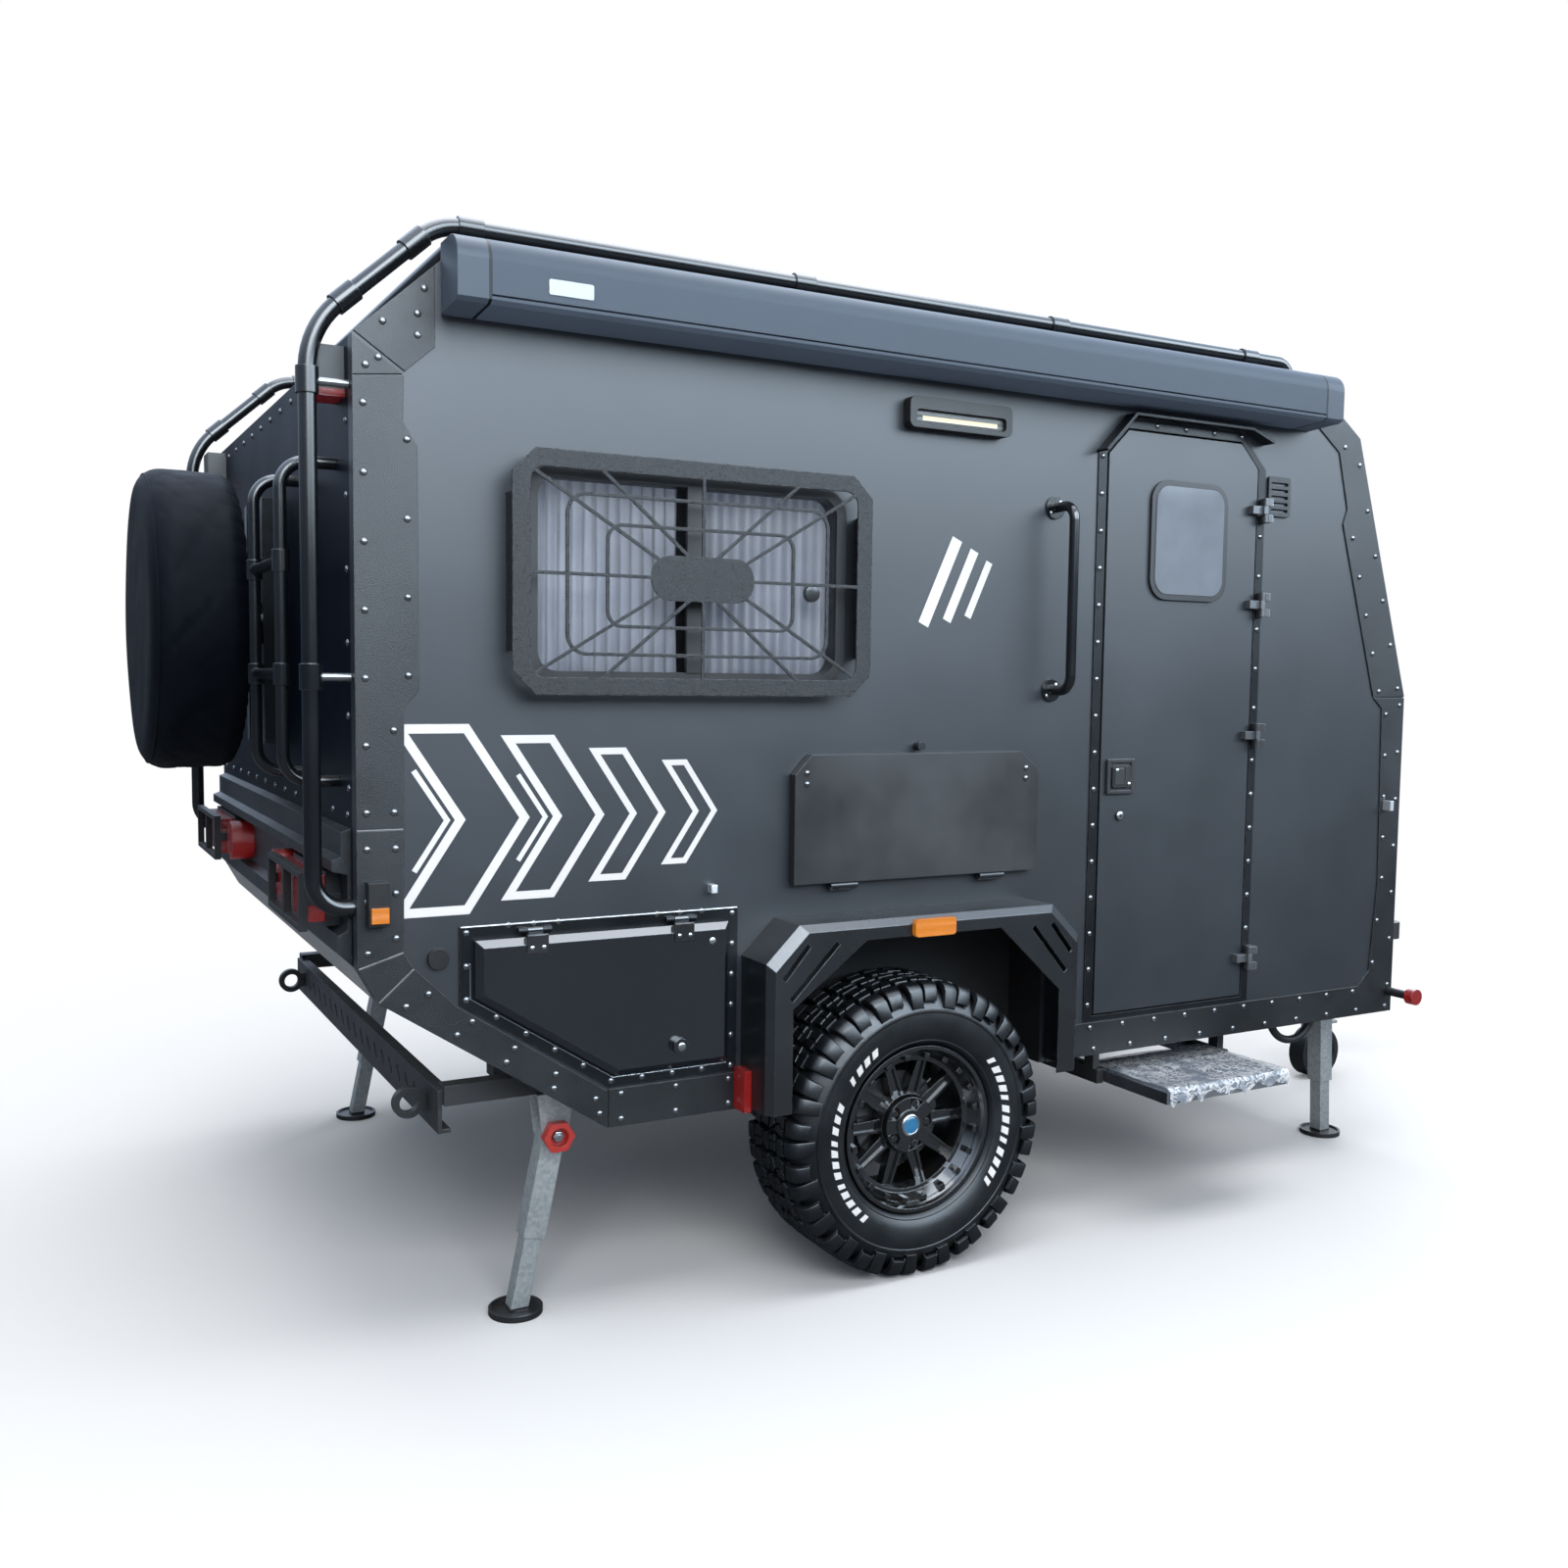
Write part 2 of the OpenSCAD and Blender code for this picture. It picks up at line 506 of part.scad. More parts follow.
module window_guards() color([0.1, 0.1, 0.11]) both_sides() {
    x = -window_x;
    z = window_z;
    a = guard_w / 2;
    b = guard_h / 2;
    xz_plate(-hw - guard_out + 5, 5) {
        difference() {
            cut_corners(x - a, z - b, x + a, z + b, 54);
            rounded(x - a + 42, z - b + 40, x + a - 42, z + b - 40, 34);
        }
        guard_ring(690, 370, 50, bar_w);
        guard_ring(495, 240, 40, bar_w);
        for (i = [-1, 1]) {
            bar([x + i * (a - 20), z], [x + i * 130, z], bar_w);
            bar([x, z + i * (b - 20)], [x, z + i * 45], bar_w);
            for (k = [-1, 1]) {
                bar([x + i * (a - 50), z + k * (b - 48)], [x + i * 95, z + k * 30], bar_w);
                bar([x + i * 272, z + k * (b - 25)], [x + i * 12, z + k * 30], bar_w);
            }
        }
        rounded(x - 135, z - 53, x + 135, z + 53, 50);
    }
    for (i = [-1, 1]) box([x + i * (a - 8) - 3, -hw - guard_out + 5, z - 178], [x + i * (a - 8) + 3, -hw, z + 178]);
}

// Entry door
module door_opening(g) let (cx = door_x + 308, cz = door_z1 - 302, w = door_window_w / 2 + g, h = door_window_h / 2 + g)
    rounded(cx - w, cz - h, cx + w, cz + h, 62 + g);
module entry_door() color([0.15, 0.16, 0.18]) xz_plate(-iw - 4, door_face - iw - 4) difference() {
    door_outline(0);
    door_opening(-34);
}
module entry_door_glass() color([0.3, 0.35, 0.4, 0.5]) xz_plate(-iw - 16, 10) door_opening(-34 - gap);
hinge_zs = [door_z + 118, door_z1 - 872, door_z1 - 476, door_z1 - 193];
lock_z = door_z1 - 986;
module entry_door_fittings() color([0.1, 0.1, 0.11]) {
    xz_plate(-door_face, 8) difference() { door_opening(0); door_opening(-38); }
    xz_plate(-door_face, 6) rounded(door_x + 18, lock_z - 52, door_x + 120, lock_z + 51, 10);
    xz_plate(-door_face, 14) rounded(door_x + 34, lock_z - 32, door_x + 104, lock_z + 31, 8);
    y_rod(door_x + 74, -door_face - 6, -door_face, lock_z - 115, 14);
    for (z = hinge_zs) {
        box([door_x1 - 34, hinge_y, z - 12], [hinge_x - 8, -door_face, z + 12]);
        difference() {
            union() {
                translate([hinge_x, hinge_y, z - 12]) cylinder(r = 10, h = 24);
                box([hinge_x - 14, hinge_y - 9, z - 12], [hinge_x, hinge_y, z + 12]);
            }
            translate([hinge_x, hinge_y, z - 20]) cylinder(r = 5.2, h = 40);
        }
    }
}
module door_frame() {
    xz_plate(-hw, plate_t) difference() {
        door_outline(door_strip);
        door_outline(door_gap);
        translate([door_x - 100, 0]) square([door_w + 200, sill_z + 100]);
    }
    xz_plate(-hw, hood_d) {
        s = door_strip + 2;
        bar([door_x - 40, door_z1 - door_cut + 2], [door_x + door_cut - 4, door_z1 + s + 3], 8);
        bar([door_x + door_cut - 8, door_z1 + s + 2], [door_x1 - door_cut + 8, door_z1 + s + 2], 8);
        bar([door_x1 - door_cut + 4, door_z1 + s + 3], [door_x1 + 26, door_z1 + 8], 8);
    }
}
module door_hinges() for (z = hinge_zs) {
    translate([hinge_x, hinge_y, z - 36]) cylinder(r = 5, h = 72);
    for (k = [-36, 12.5]) {
        translate([hinge_x, hinge_y, z + k]) cylinder(r = 10, h = 23.5);
        box([hinge_x, hinge_y - 9, z + k], [hinge_x + 22, -hw - plate_t, z + k + 23.5]);
    }
}

// Folding table
module fold_table() color([0.14, 0.15, 0.16]) xz_plate(-hw - 3, table_t)
    polygon([[-table_x0, table_z + 8], [table_x1, table_z + 8], [table_x1, table_z + table_h - 50],
        [table_x1 - 58, table_z + table_h], [-table_x0 + 48, table_z + table_h], [-table_x0, table_z + table_h - 50]]);
module table_fittings() {
    for (x = [-table_x0 + 110, table_x1 - 190]) {
        x_rod(x, x + 80, -table_y, table_z, 7.3);
        box([x, -table_y, table_z - 12], [x + 80, -hw, table_z]);
    }
    y_rod(62, -hw - 26, -hw, table_z + table_h + 18, 12);
}

// Locker lids
module lid() hull() {
    xz_plate(-lid_y, lid_t - 16) polygon(lid_outline(0));
    xz_plate(-lid_y, lid_t) polygon(lid_outline(-16));
}
lid_hinge_xs = [-lid_x0 + 142, -lid_x1 - 127];
module locker_lid() {
    lid();
    for (x = lid_hinge_xs) difference() {
        union() {
            x_rod(x - 18, x + 18, -lid_pivot_y, lid_pivot_z, 8);
            box([x - 18, -lid_pivot_y - 8, lid_z1 - 60], [x + 18, -lid_pivot_y + 1, lid_pivot_z]);
        }
        x_rod(x - 25, x + 25, -lid_pivot_y, lid_pivot_z, 4.2);
    }
    y_rod(-lid_x1 - 140, -lid_y - lid_t - 18, -lid_y - lid_t + 4, lid_z0 + 58, 20);
}
module locker_lid_right() color([0.13, 0.14, 0.16]) locker_lid();
module locker_lid_left() color([0.13, 0.14, 0.16]) mirror([0, 1, 0]) locker_lid();
module locker_frames() both_sides() {
    xz_plate(-hw, plate_t) difference() { polygon(lid_outline(33)); polygon(lid_outline(-34)); }
    for (x = lid_hinge_xs) {
        x_rod(x - 40, x + 40, -lid_pivot_y, lid_pivot_z, 4);
        for (k = [-40, 19]) {
            x_rod(x + k, x + k + 21, -lid_pivot_y, lid_pivot_z, 8);
            box([x + k, -lid_pivot_y - 4, lid_pivot_z], [x + k + 21, -hw - plate_t, lid_pivot_z + 8]);
        }
    }
}

module opening_frames() color([0.12, 0.12, 0.13]) { door_frame(); locker_frames(); }
module hinge_mounts() color([0.3, 0.3, 0.32]) { door_hinges(); table_fittings(); }

// Roof rack and awning
rack_x1 = fx - 565;
rack_path = [[rack_x1, roof_z], [rack_x1, rack_z], [p7[0] - 20, rack_z], [rack_x, rack_z - (p7[0] - 20 - rack_x) * slope_s],
    [rack_x, tail_z + 135], [rx, tail_z + 135]];
rack_bends = [50, 130, 200, 70];
function on_rack(q) = [q[0], -rack_y, q[1]];
module rack_tube() {
    y = -rack_y;
    bent_tube([for (q = rack_path) on_rack(q)], rack_r, rack_bends);
    a = rack_path[2];
    b = rack_path[3];
    d = unit(b - a);
    c2 = corner_cut(rack_path, 2, rack_bends);
    c3 = corner_cut(rack_path, 3, rack_bends);
    // Collars over the ends of the two bends at the roof slope
    rod(on_rack(a + (c2 - 8) * d), on_rack(a + (c2 + 48) * d), rack_r + 5);
    rod(on_rack(b - (c3 + 48) * d), on_rack(b - (c3 - 8) * d), rack_r + 5);
    translate([rack_x, y, b[1] - c3 - 48]) cylinder(r = rack_r + 5, h = 56);
    x_rod(rack_x, rx, y, b[1] - c3 - 20, 9);
    translate([rack_x, y, stay_z - 28]) cylinder(r = rack_r + 5, h = 56);
    x_rod(rack_x, rx, y, stay_z, 9);
    for (x = concat([a[0] + c2 + 20], rack_foot_xs)) {
        x_rod(x - 28, x + 28, y, rack_z, rack_r + 5);
        box([x - 20, y - 14, roof_z], [x + 20, y + 14, rack_z - 8]);
    }
}
stay_z = p8[1] - 730;
rack_foot_xs = [rack_x1 - 1715, rack_x1 - 905, rack_x1 - 175];
module rack_tubes() color([0.07, 0.07, 0.08]) both_sides() rack_tube();
module rack_cross_bars() color([0.07, 0.07, 0.08])
    for (x = concat([rack_path[2][0] + corner_cut(rack_path, 2, rack_bends) + 20], rack_foot_xs)) y_rod(x, -rack_y + rack_r + 5, rack_y - rack_r - 5, rack_z, 16);
module awning_section() let (y = -hw - awning_d, b = roof_z - 135, c = b + 152 - awning_round) difference() {
    polygon([[-hw, b], [y + 14, b + 7], [y, b + 15], [y, b + 152], [-hw, b + 152]]);
    difference() {
        translate([y - 1, c]) square(awning_round + 1);
        translate([y + awning_round, c]) circle(awning_round);
    }
}
module awning_case() color([0.16, 0.18, 0.22]) yz_run(-awning_x0 + 75, awning_x1 + awning_x0 - 150) difference() {
    awning_section();
    translate([-hw - awning_d - 5, roof_z - 113]) square([13, 4]);
}
module awning_end_caps() color([0.08, 0.08, 0.09]) {
    yz_run(-awning_x0, 75) awning_section();
    yz_run(awning_x1 - 75, 75) awning_section();
}
module grab_handle() color([0.08, 0.08, 0.09]) {
    x = door_x - 187;
    z1 = roof_z - 435;
    z0 = z1 - 505;
    bent_tube([[x, -hw, z1], [x, -hw - 85, z1], [x, -hw - 85, z0], [x, -hw, z0]], 14, [40, 40]);
    for (z = [z0, z1]) y_rod(x, -hw - 6, -hw, z, 32);
}
light_z = roof_z - 225;
module awning_light() color([0.06, 0.06, 0.07]) xz_plate(-hw, 34) difference() {
    rounded(0, light_z - 40, 328, light_z + 40, 18);
    rounded(20, light_z - 27, 308, light_z + 7, 10);
}
module awning_light_lens() color([0.9, 0.85, 0.65]) xz_plate(-hw, 24) rounded(20 + gap, light_z - 27 + gap, 308 - gap, light_z + 7 - gap, 9);

// Rear face
module rear_ladder() color([0.07, 0.07, 0.08]) {
    x = rx - ladder_out;
    for (y = [-ladder_y, -ladder_y + ladder_w]) {
        bent_tube([[rx, y, ladder_z1], [x, y, ladder_z1], [x, y, ladder_z0], [rx, y, ladder_z0]], 14, [60, 60]);
        for (z = rung_zs) translate([x, y, z - 24]) cylinder(r = 19, h = 48);
    }
    for (z = rung_zs) y_rod(x, -ladder_y, -ladder_y + ladder_w, z, 13);
}
module spare_wheel_cover() color([0.04, 0.05, 0.07]) translate([rx - 100, spare_y, spare_z]) rotate([0, -90, 0])
    rotate_extrude() intersection() {
        rounded(-spare_r, 0, spare_r, spare_t, 60);
        square([spare_r + 5, spare_t]);
    }
module spare_carrier() color([0.07, 0.07, 0.08]) {
    x_rod(rx - 100, rx, spare_y, spare_z, 60);
    for (i = [-1, 1]) box([rx - 40, spare_y + i * 130 - 20, spare_z - 330], [rx, spare_y + i * 130 + 20, spare_z + 330]);
    for (i = [-1, 1]) box([rx - 70, spare_y - 150, spare_z + i * 150 - 20], [rx - 40, spare_y + 150, spare_z + i * 150 + 20]);
}
module rear_bumper() color([0.12, 0.13, 0.14]) xz_plate(rack_y - rack_r - 8, 2 * (rack_y - rack_r - 8)) {
    polygon([for (q = [[0, 307], [22, 300], [22, 245], [42, 237], [42, 213], [8, 205], [8, 80], [30, 70], [30, 30], [0, 0]])
        p0 + [-q[0], q[1]]]);
}
lamp_z = tail_z + 143;
module red_lamps() color([0.6, 0.03, 0.03]) both_sides() {
    box([rx - 78, -hw + 140, lamp_z - 53], [rx - 40, -hw + 510, lamp_z + 52]);
    x_rod(rx - 70, rx - 8, -hw + 630, lamp_z, 58);
    box([rx - 56, -hw + 70, p8[1] - 125], [rx, -hw + 170, p8[1] - 109]);
    box([well_x0 - 35, -hw - 62, sill_z + 5], [-455, -hw - 4, sill_z + 110]);
    y_rod(fx - 20, -hw - 118, -hw - 88, sill_z + 68, 26);
}
module amber_lamps() color([0.9, 0.5, 0.05]) both_sides() {
    xz_plate(-hw - flare_d, 16) rounded(-42, 900, 84, 946, 10);
    box([rx + 22, -hw - plate_t - 42, tail_z + 107], [rx + 60, -hw - plate_t - 32, tail_z + 141]);
}
module lamp_housings() color([0.06, 0.06, 0.07]) both_sides() {
    box([rx - 40, -hw + 130, lamp_z - 63], [rx - 8, -hw + 520, lamp_z + 60]);
    difference() {
        box([rx - 100, -hw + 120, lamp_z - 70], [rx - 82, -hw + 528, lamp_z + 64]);
        for (y = [134, 334]) box([rx - 110, -hw + y, lamp_z - 56], [rx - 70, -hw + y + 180, lamp_z + 50]);
    }
    for (y = [120, 523]) box([rx - 82, -hw + y, lamp_z - 12], [rx - 8, -hw + y + 5, lamp_z + 12]);
    box([rx - 56, -hw + 70, p8[1] - 109], [rx, -hw + 170, p8[1] - 17]);
    box([rx + 18, -hw - plate_t - 32, tail_z + 99], [rx + 64, -hw - plate_t, tail_z + 195]);
    y_rod(fx - 20, -hw - 88, -hw - plate_t, sill_z + 68, 14);
}

// Drawbar
module drawbar_arms() color([0.07, 0.07, 0.08]) both_sides()
    translate([0, 0, floor_z - rail_h - 80]) linear_extrude(80) bar(arm_a, arm_b, 60);
module coupling_head() color([0.12, 0.12, 0.13]) {
    z = floor_z - rail_h - 80;
    difference() {
        union() {
            box([ball_x - 230, -29, z + 2], [ball_x - 60, 29, z + 80]);
            box([ball_x - 330, -100, z + 80], [ball_x - 200, 100, z + 88]);
            translate([ball_x, 0, ball_z - 30]) cylinder(r = 48, h = 72);
            box([ball_x - 80, -40, ball_z - 20], [ball_x, 40, ball_z + 42]);
            box([ball_x - 190, -14, ball_z + 30], [ball_x - 40, 14, ball_z + 74]);
        }
        translate([ball_x, 0, ball_z - 40]) cylinder(r = ball_r, h = 50);
        translate([ball_x, 0, ball_z + 10]) sphere(ball_r);
    }
}
module jockey_tube() color([0.5, 0.51, 0.53]) translate([jockey_x, jockey_y, 0]) {
    difference() {
        translate([0, 0, 300]) cylinder(r = jack_r, h = 460);
        translate([0, 0, 290]) cylinder(r = 25, h = 440);
    }
    difference() {
        rotate(atan2(arm_d[1], arm_d[0])) box([-40, -40, 425], [40, 60, 495]);
        translate([0, 0, 400]) cylinder(r = 25, h = 120);
    }
    translate([0, 0, 760]) cylinder(r = 14, h = 40);
    box([-10, 0, 780], [150, 12, 796]);
}
module jockey_fork() color([0.5, 0.51, 0.53]) translate([jockey_x, jockey_y, 0]) {
    translate([0, 0, 225]) cylinder(r = 24, h = 400);
    box([-60, -50, 215], [30, 50, 227]);
    for (s = [-1, 1]) box([-60, s * 47 - 3, 85], [-20, s * 47 + 3, 220]);
    y_rod(-40, -50, 50, jockey_r, 7);
}
module jockey_wheel() color([0.06, 0.06, 0.06]) translate([jockey_x - 40, jockey_y, jockey_r]) rotate([90, 0, 0]) difference() {
    rotate_extrude() difference() { translate([0, -35]) square([jockey_r, 70]); translate([30, 24]) square([45, 12]); translate([30, -36]) square([45, 12]); }
    translate([0, 0, -50]) cylinder(r = 7.4, h = 100);
}

// Legs with their brackets; each leg turns on its pin
module leg(run, h) {
    len = norm([run, h]);
    difference() {
        union() {
            rotate([0, -atan2(run, h), 0]) {
                box([-leg_s / 2, -leg_s / 2, 190 - len], [leg_s / 2, leg_s / 2, 0]);
                box([-22, -22, 8 - len], [22, 22, 200 - len]);
            }
            y_rod(0, -leg_s / 2, leg_s / 2, 0, leg_s / 2);
            translate([run, 0, -h]) {
                cylinder(r = 66, h = 9);
                difference() { cylinder(r = 66, h = 15); cylinder(r = 59, h = 20); }
            }
        }
        y_rod(0, -60, 60, 0, 8.3);
    }
}
module rear_leg() translate([-leg_rx, -leg_ry, leg_rz]) leg(-leg_lean, leg_rz);
module front_leg() translate([leg_fx, -leg_fy, leg_fz]) leg(25, leg_fz);
module leg_rear_right() color([0.6, 0.61, 0.63]) rear_leg();
module leg_rear_left() color([0.6, 0.61, 0.63]) mirror([0, 1, 0]) rear_leg();
module leg_front_right() color([0.6, 0.61, 0.63]) front_leg();
module leg_front_left() color([0.6, 0.61, 0.63]) mirror([0, 1, 0]) front_leg();
module leg_bracket(x, y, z, top) {
    for (s = [-1, 1]) xz_plate(-y + s * (leg_s / 2 + 4) + 3, 6) {
        translate([x, z]) circle(34);
        polygon([[x - 34, z], [x + 34, z], [x + 46, top], [x - 46, top]]);
    }
    box([x - 46, -y - leg_s / 2 - 4, top - 6], [x + 46, -y + leg_s / 2 + 4, top]);
    y_rod(x, -y - leg_s / 2 - 12, -y + leg_s / 2 + 12, z, 8);
}
module leg_brackets() color([0.55, 0.56, 0.58]) both_sides() {
    leg_bracket(-leg_rx, leg_ry, leg_rz, floor_z - cross_s);
    leg_bracket(leg_fx, leg_fy, leg_fz, floor_z - cross_s);
}
// Six-sided knob with a hollow face on the end of a leg's pin
module knob(x, y, z) {
    xz_plate(-y - leg_s / 2 - 12, 6) translate([x, z]) circle(40, $fn = 6);
    xz_plate(-y - leg_s / 2 - 18, 20) translate([x, z]) difference() { circle(40, $fn = 6); circle(23); }
}
module leg_caps() color([0.7, 0.05, 0.04]) both_sides() {
    knob(-leg_rx, leg_ry, leg_rz);
    knob(leg_fx, leg_fy, leg_fz);
}

// Entry step on its slides below the doorway
module entry_step() color([0.12, 0.12, 0.13]) {
    box([step_x0, -step_y1, step_z - 34], [step_x1, -step_y0, step_z]);
    for (x = [step_x0, step_x1 - 40]) box([x, -step_y0 - 10, step_z - 30], [x + 40, -slide_y0, step_z - 4]);
}
module step_slides() color([0.08, 0.08, 0.09]) for (x = [step_x0 - 24.8, step_x1 + 0.8]) {
    box([x, -hw + 50, step_z - 38], [x + 24, -slide_y0, step_z + 4]);
    for (y = [-hw + 70, -slide_y0 - 80]) box([x, y, step_z - 38], [x + 24, y + 40, floor_z - cross_s]);
}
module drain_hose() color([0.05, 0.05, 0.05])
    let (y = -hw + 160, z = floor_z - 225)
        bent_tube([[fx - 390, y, floor_z], [fx - 390, y, z], [fx - 180, y, z], [fx - 180, y, floor_z]], 13, [100, 100]);
vent_x = door_x1 + 47;
vent_z = door_z1 - 205;
module small_fittings() color([0.3, 0.31, 0.33]) {
    xz_plate(-hw, 8) difference() {
        rounded(vent_x, vent_z, vent_x + 93, vent_z + 120, 8);
        for (i = [0:4]) translate([vent_x + 12, vent_z + 13 + i * 20]) square([70, 9]);
    }
    y_rod(rx + 177, -hw - 12, -hw, tail_z + 12, 24);
    box([fx - 82, -hw - plate_t - 30, 1146], [fx - 66, -hw - plate_t, 1178]);
    box([-lid_x1 - 50, -hw - 26, lid_z1 + 73], [-lid_x1 - 34, -hw, lid_z1 + 93]);
    y_rod(fx - 495, -hw + 110, -hw + 180, roof_z + 60, 36);
    translate([fx - 495, -hw + 145, roof_z]) cylinder(r = 12, h = 40);
}

side_wall_right();
side_wall_left();
roof_panel();
front_panel();
rear_panel();
floor_panel();
corner_armour();
wheel_flares();
wheel_wells();
chassis_rails();
chassis_cross_members();
rear_beam();
tow_eyes();
axle_beam();
hub_arms();
wheel_right_tyre();
wheel_right_rim();
wheel_left_tyre();
wheel_left_rim();
window_frames();
window_panes();
curtains();
window_guards();
entry_door();
entry_door_glass();
entry_door_fittings();
fold_table();
locker_lid_right();
locker_lid_left();
opening_frames();
hinge_mounts();
rack_tubes();
rack_cross_bars();
awning_case();
awning_end_caps();
grab_handle();
awning_light();
awning_light_lens();
rear_ladder();
spare_wheel_cover();
spare_carrier();
rear_bumper();
red_lamps();
amber_lamps();
lamp_housings();
drawbar_arms();
coupling_head();
jockey_tube();
jockey_fork();
jockey_wheel();
leg_rear_right();
leg_rear_left();
leg_front_right();
leg_front_left();
leg_brackets();
leg_caps();
entry_step();
step_slides();
drain_hose();
small_fittings();
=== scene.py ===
"""Looks of an off-road caravan trailer: finishes, rivets, tyres, soft goods and studio."""
import json
import logging
import math
from dataclasses import dataclass, field
from enum import Enum
from typing import Callable, Iterable, Sequence

import bmesh
import bpy
import numpy as np
from mathutils import Matrix, Vector

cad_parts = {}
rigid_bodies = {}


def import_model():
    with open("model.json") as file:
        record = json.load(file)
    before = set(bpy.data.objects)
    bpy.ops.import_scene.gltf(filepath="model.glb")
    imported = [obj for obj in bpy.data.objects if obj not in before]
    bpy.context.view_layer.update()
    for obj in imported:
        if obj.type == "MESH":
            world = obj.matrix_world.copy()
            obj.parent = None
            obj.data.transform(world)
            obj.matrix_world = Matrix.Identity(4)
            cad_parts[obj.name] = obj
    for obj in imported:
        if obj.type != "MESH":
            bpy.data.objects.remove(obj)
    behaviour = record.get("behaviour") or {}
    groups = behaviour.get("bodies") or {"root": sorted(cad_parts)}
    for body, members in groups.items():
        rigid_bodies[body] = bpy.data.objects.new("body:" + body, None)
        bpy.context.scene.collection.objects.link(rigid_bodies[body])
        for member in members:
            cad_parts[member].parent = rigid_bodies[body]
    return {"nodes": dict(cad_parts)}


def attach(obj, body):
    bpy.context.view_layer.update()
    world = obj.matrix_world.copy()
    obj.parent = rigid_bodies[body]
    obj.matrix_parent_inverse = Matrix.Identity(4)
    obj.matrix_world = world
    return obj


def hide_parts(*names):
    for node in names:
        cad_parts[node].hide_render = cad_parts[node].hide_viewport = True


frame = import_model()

log = logging.getLogger("trailer")
Tree = bpy.types.NodeTree
Node = bpy.types.Node
Socket = bpy.types.NodeSocket
Material = bpy.types.Material
Object = bpy.types.Object
Rgb = tuple[float, float, float]
Point = tuple[float, float, float]
SIDES = {"right": -1.0, "left": 1.0}
FAR = 9.0
PRINCIPLED = "Principled BSDF"
UNIT = (0.0, 1.0)
COAT_ROUGHNESS = 0.12


class Slot(Enum):
    """Material slots of the record that the new pieces belong to."""
    BODY = "body_paint"
    ARMOUR = "armour"
    BLACK = "black_metal"
    TYRE = "tyre"
    RIM = "rim"
    ZINC = "galvanised"
    GLASS = "glass"
    PLASTIC = "plastic"
    AWNING = "awning_metal"
    COVER = "cover_fabric"
    CURTAIN = "curtain_fabric"
    HOSE = "hose_rubber"


# Node helpers

def add(tree: Tree, kind: str, values: dict | None = None, **props) -> Node:
    """Add a node, set its properties and its input values.

    Args:
        tree: The node tree.
        kind: The node's type name.
        values: Input values by socket name or index.
        props: Node properties.

    Returns:
        The new node.
    """
    node = tree.nodes.new(kind)
    for key, value in props.items():
        setattr(node, key, value)
    for key, value in (values or {}).items():
        node.inputs[key].default_value = value
    return node


def math_node(tree: Tree, how: str, a, b=0.0) -> Socket:
    """Add a math node on sockets or numbers and return its output.

    Args:
        tree: The node tree.
        how: The operation.
        a: First socket or number.
        b: Second socket or number.

    Returns:
        The node's output socket.
    """
    node = add(tree, "ShaderNodeMath", operation=how)
    for i, value in enumerate((a, b)):
        if isinstance(value, (int, float)):
            node.inputs[i].default_value = value
        else:
            tree.links.new(value, node.inputs[i])
    return node.outputs[0]


def blend_colour(tree: Tree, factor, a, b, how: str = "MIX") -> Socket:
    """Mix two colours, each a socket or a plain colour, and return the result's socket.

    Args:
        tree: The node tree.
        factor: Mask socket or number.
        a: Colour where the factor is 0.
        b: Colour where the factor is 1.
        how: Blend type.

    Returns:
        The mixed colour's socket.
    """
    node = add(tree, "ShaderNodeMix", data_type="RGBA", blend_type=how)
    for i, value in ((0, factor), (6, a), (7, b)):
        if isinstance(value, Socket):
            tree.links.new(value, node.inputs[i])
        else:
            node.inputs[i].default_value = (*value, 1.0) if i else value
    return node.outputs[2]


def remap(tree: Tree, value: Socket, span: Sequence[float],
          to: Sequence[float]) -> Socket:
    """Map a value from one range to another, clamped.

    Args:
        tree: The node tree.
        value: The socket to map.
        span: Range that comes in.
        to: Range that goes out.

    Returns:
        The mapped value's socket.
    """
    node = add(tree, "ShaderNodeMapRange", {1: span[0], 2: span[1], 3: to[0], 4: to[1]})
    tree.links.new(value, node.inputs[0])
    return node.outputs[0]


def axes(tree: Tree, source: str = "Object") -> Sequence[Socket]:
    """Split texture coordinates into their three axes.

    Args:
        tree: The node tree.
        source: Which coordinates to split.

    Returns:
        The sockets of X, Y and Z.
    """
    split = add(tree, "ShaderNodeSeparateXYZ")
    tree.links.new(add(tree, "ShaderNodeTexCoord").outputs[source], split.inputs[0])
    return split.outputs


def pattern(tree: Tree, kind: str, values: dict) -> Node:
    """Add a texture on object coordinates.

    Args:
        tree: The node tree.
        kind: The texture node's last name.
        values: Input values by socket name.

    Returns:
        The texture node.
    """
    node = add(tree, f"ShaderNodeTex{kind}", values)
    tree.links.new(add(tree, "ShaderNodeTexCoord").outputs["Object"], node.inputs["Vector"])
    return node


def start_material(name: str, values: dict[str, float]) -> tuple[Material, Tree]:
    """Make a material and set plain values on its shader.

    Args:
        name: The material's name.
        values: Shader values by socket name.

    Returns:
        The material and its tree.
    """
    mat = bpy.data.materials.new(name)
    mat.use_nodes = True
    for key, value in values.items():
        mat.node_tree.nodes[PRINCIPLED].inputs[key].default_value = value
    return mat, mat.node_tree


def feed(tree: Tree, source: Socket, name: str) -> None:
    """Link a socket to the named input of the material's shader.

    Args:
        tree: The material's tree.
        source: The socket that feeds it.
        name: The shader's input.
    """
    tree.links.new(source, tree.nodes[PRINCIPLED].inputs[name])


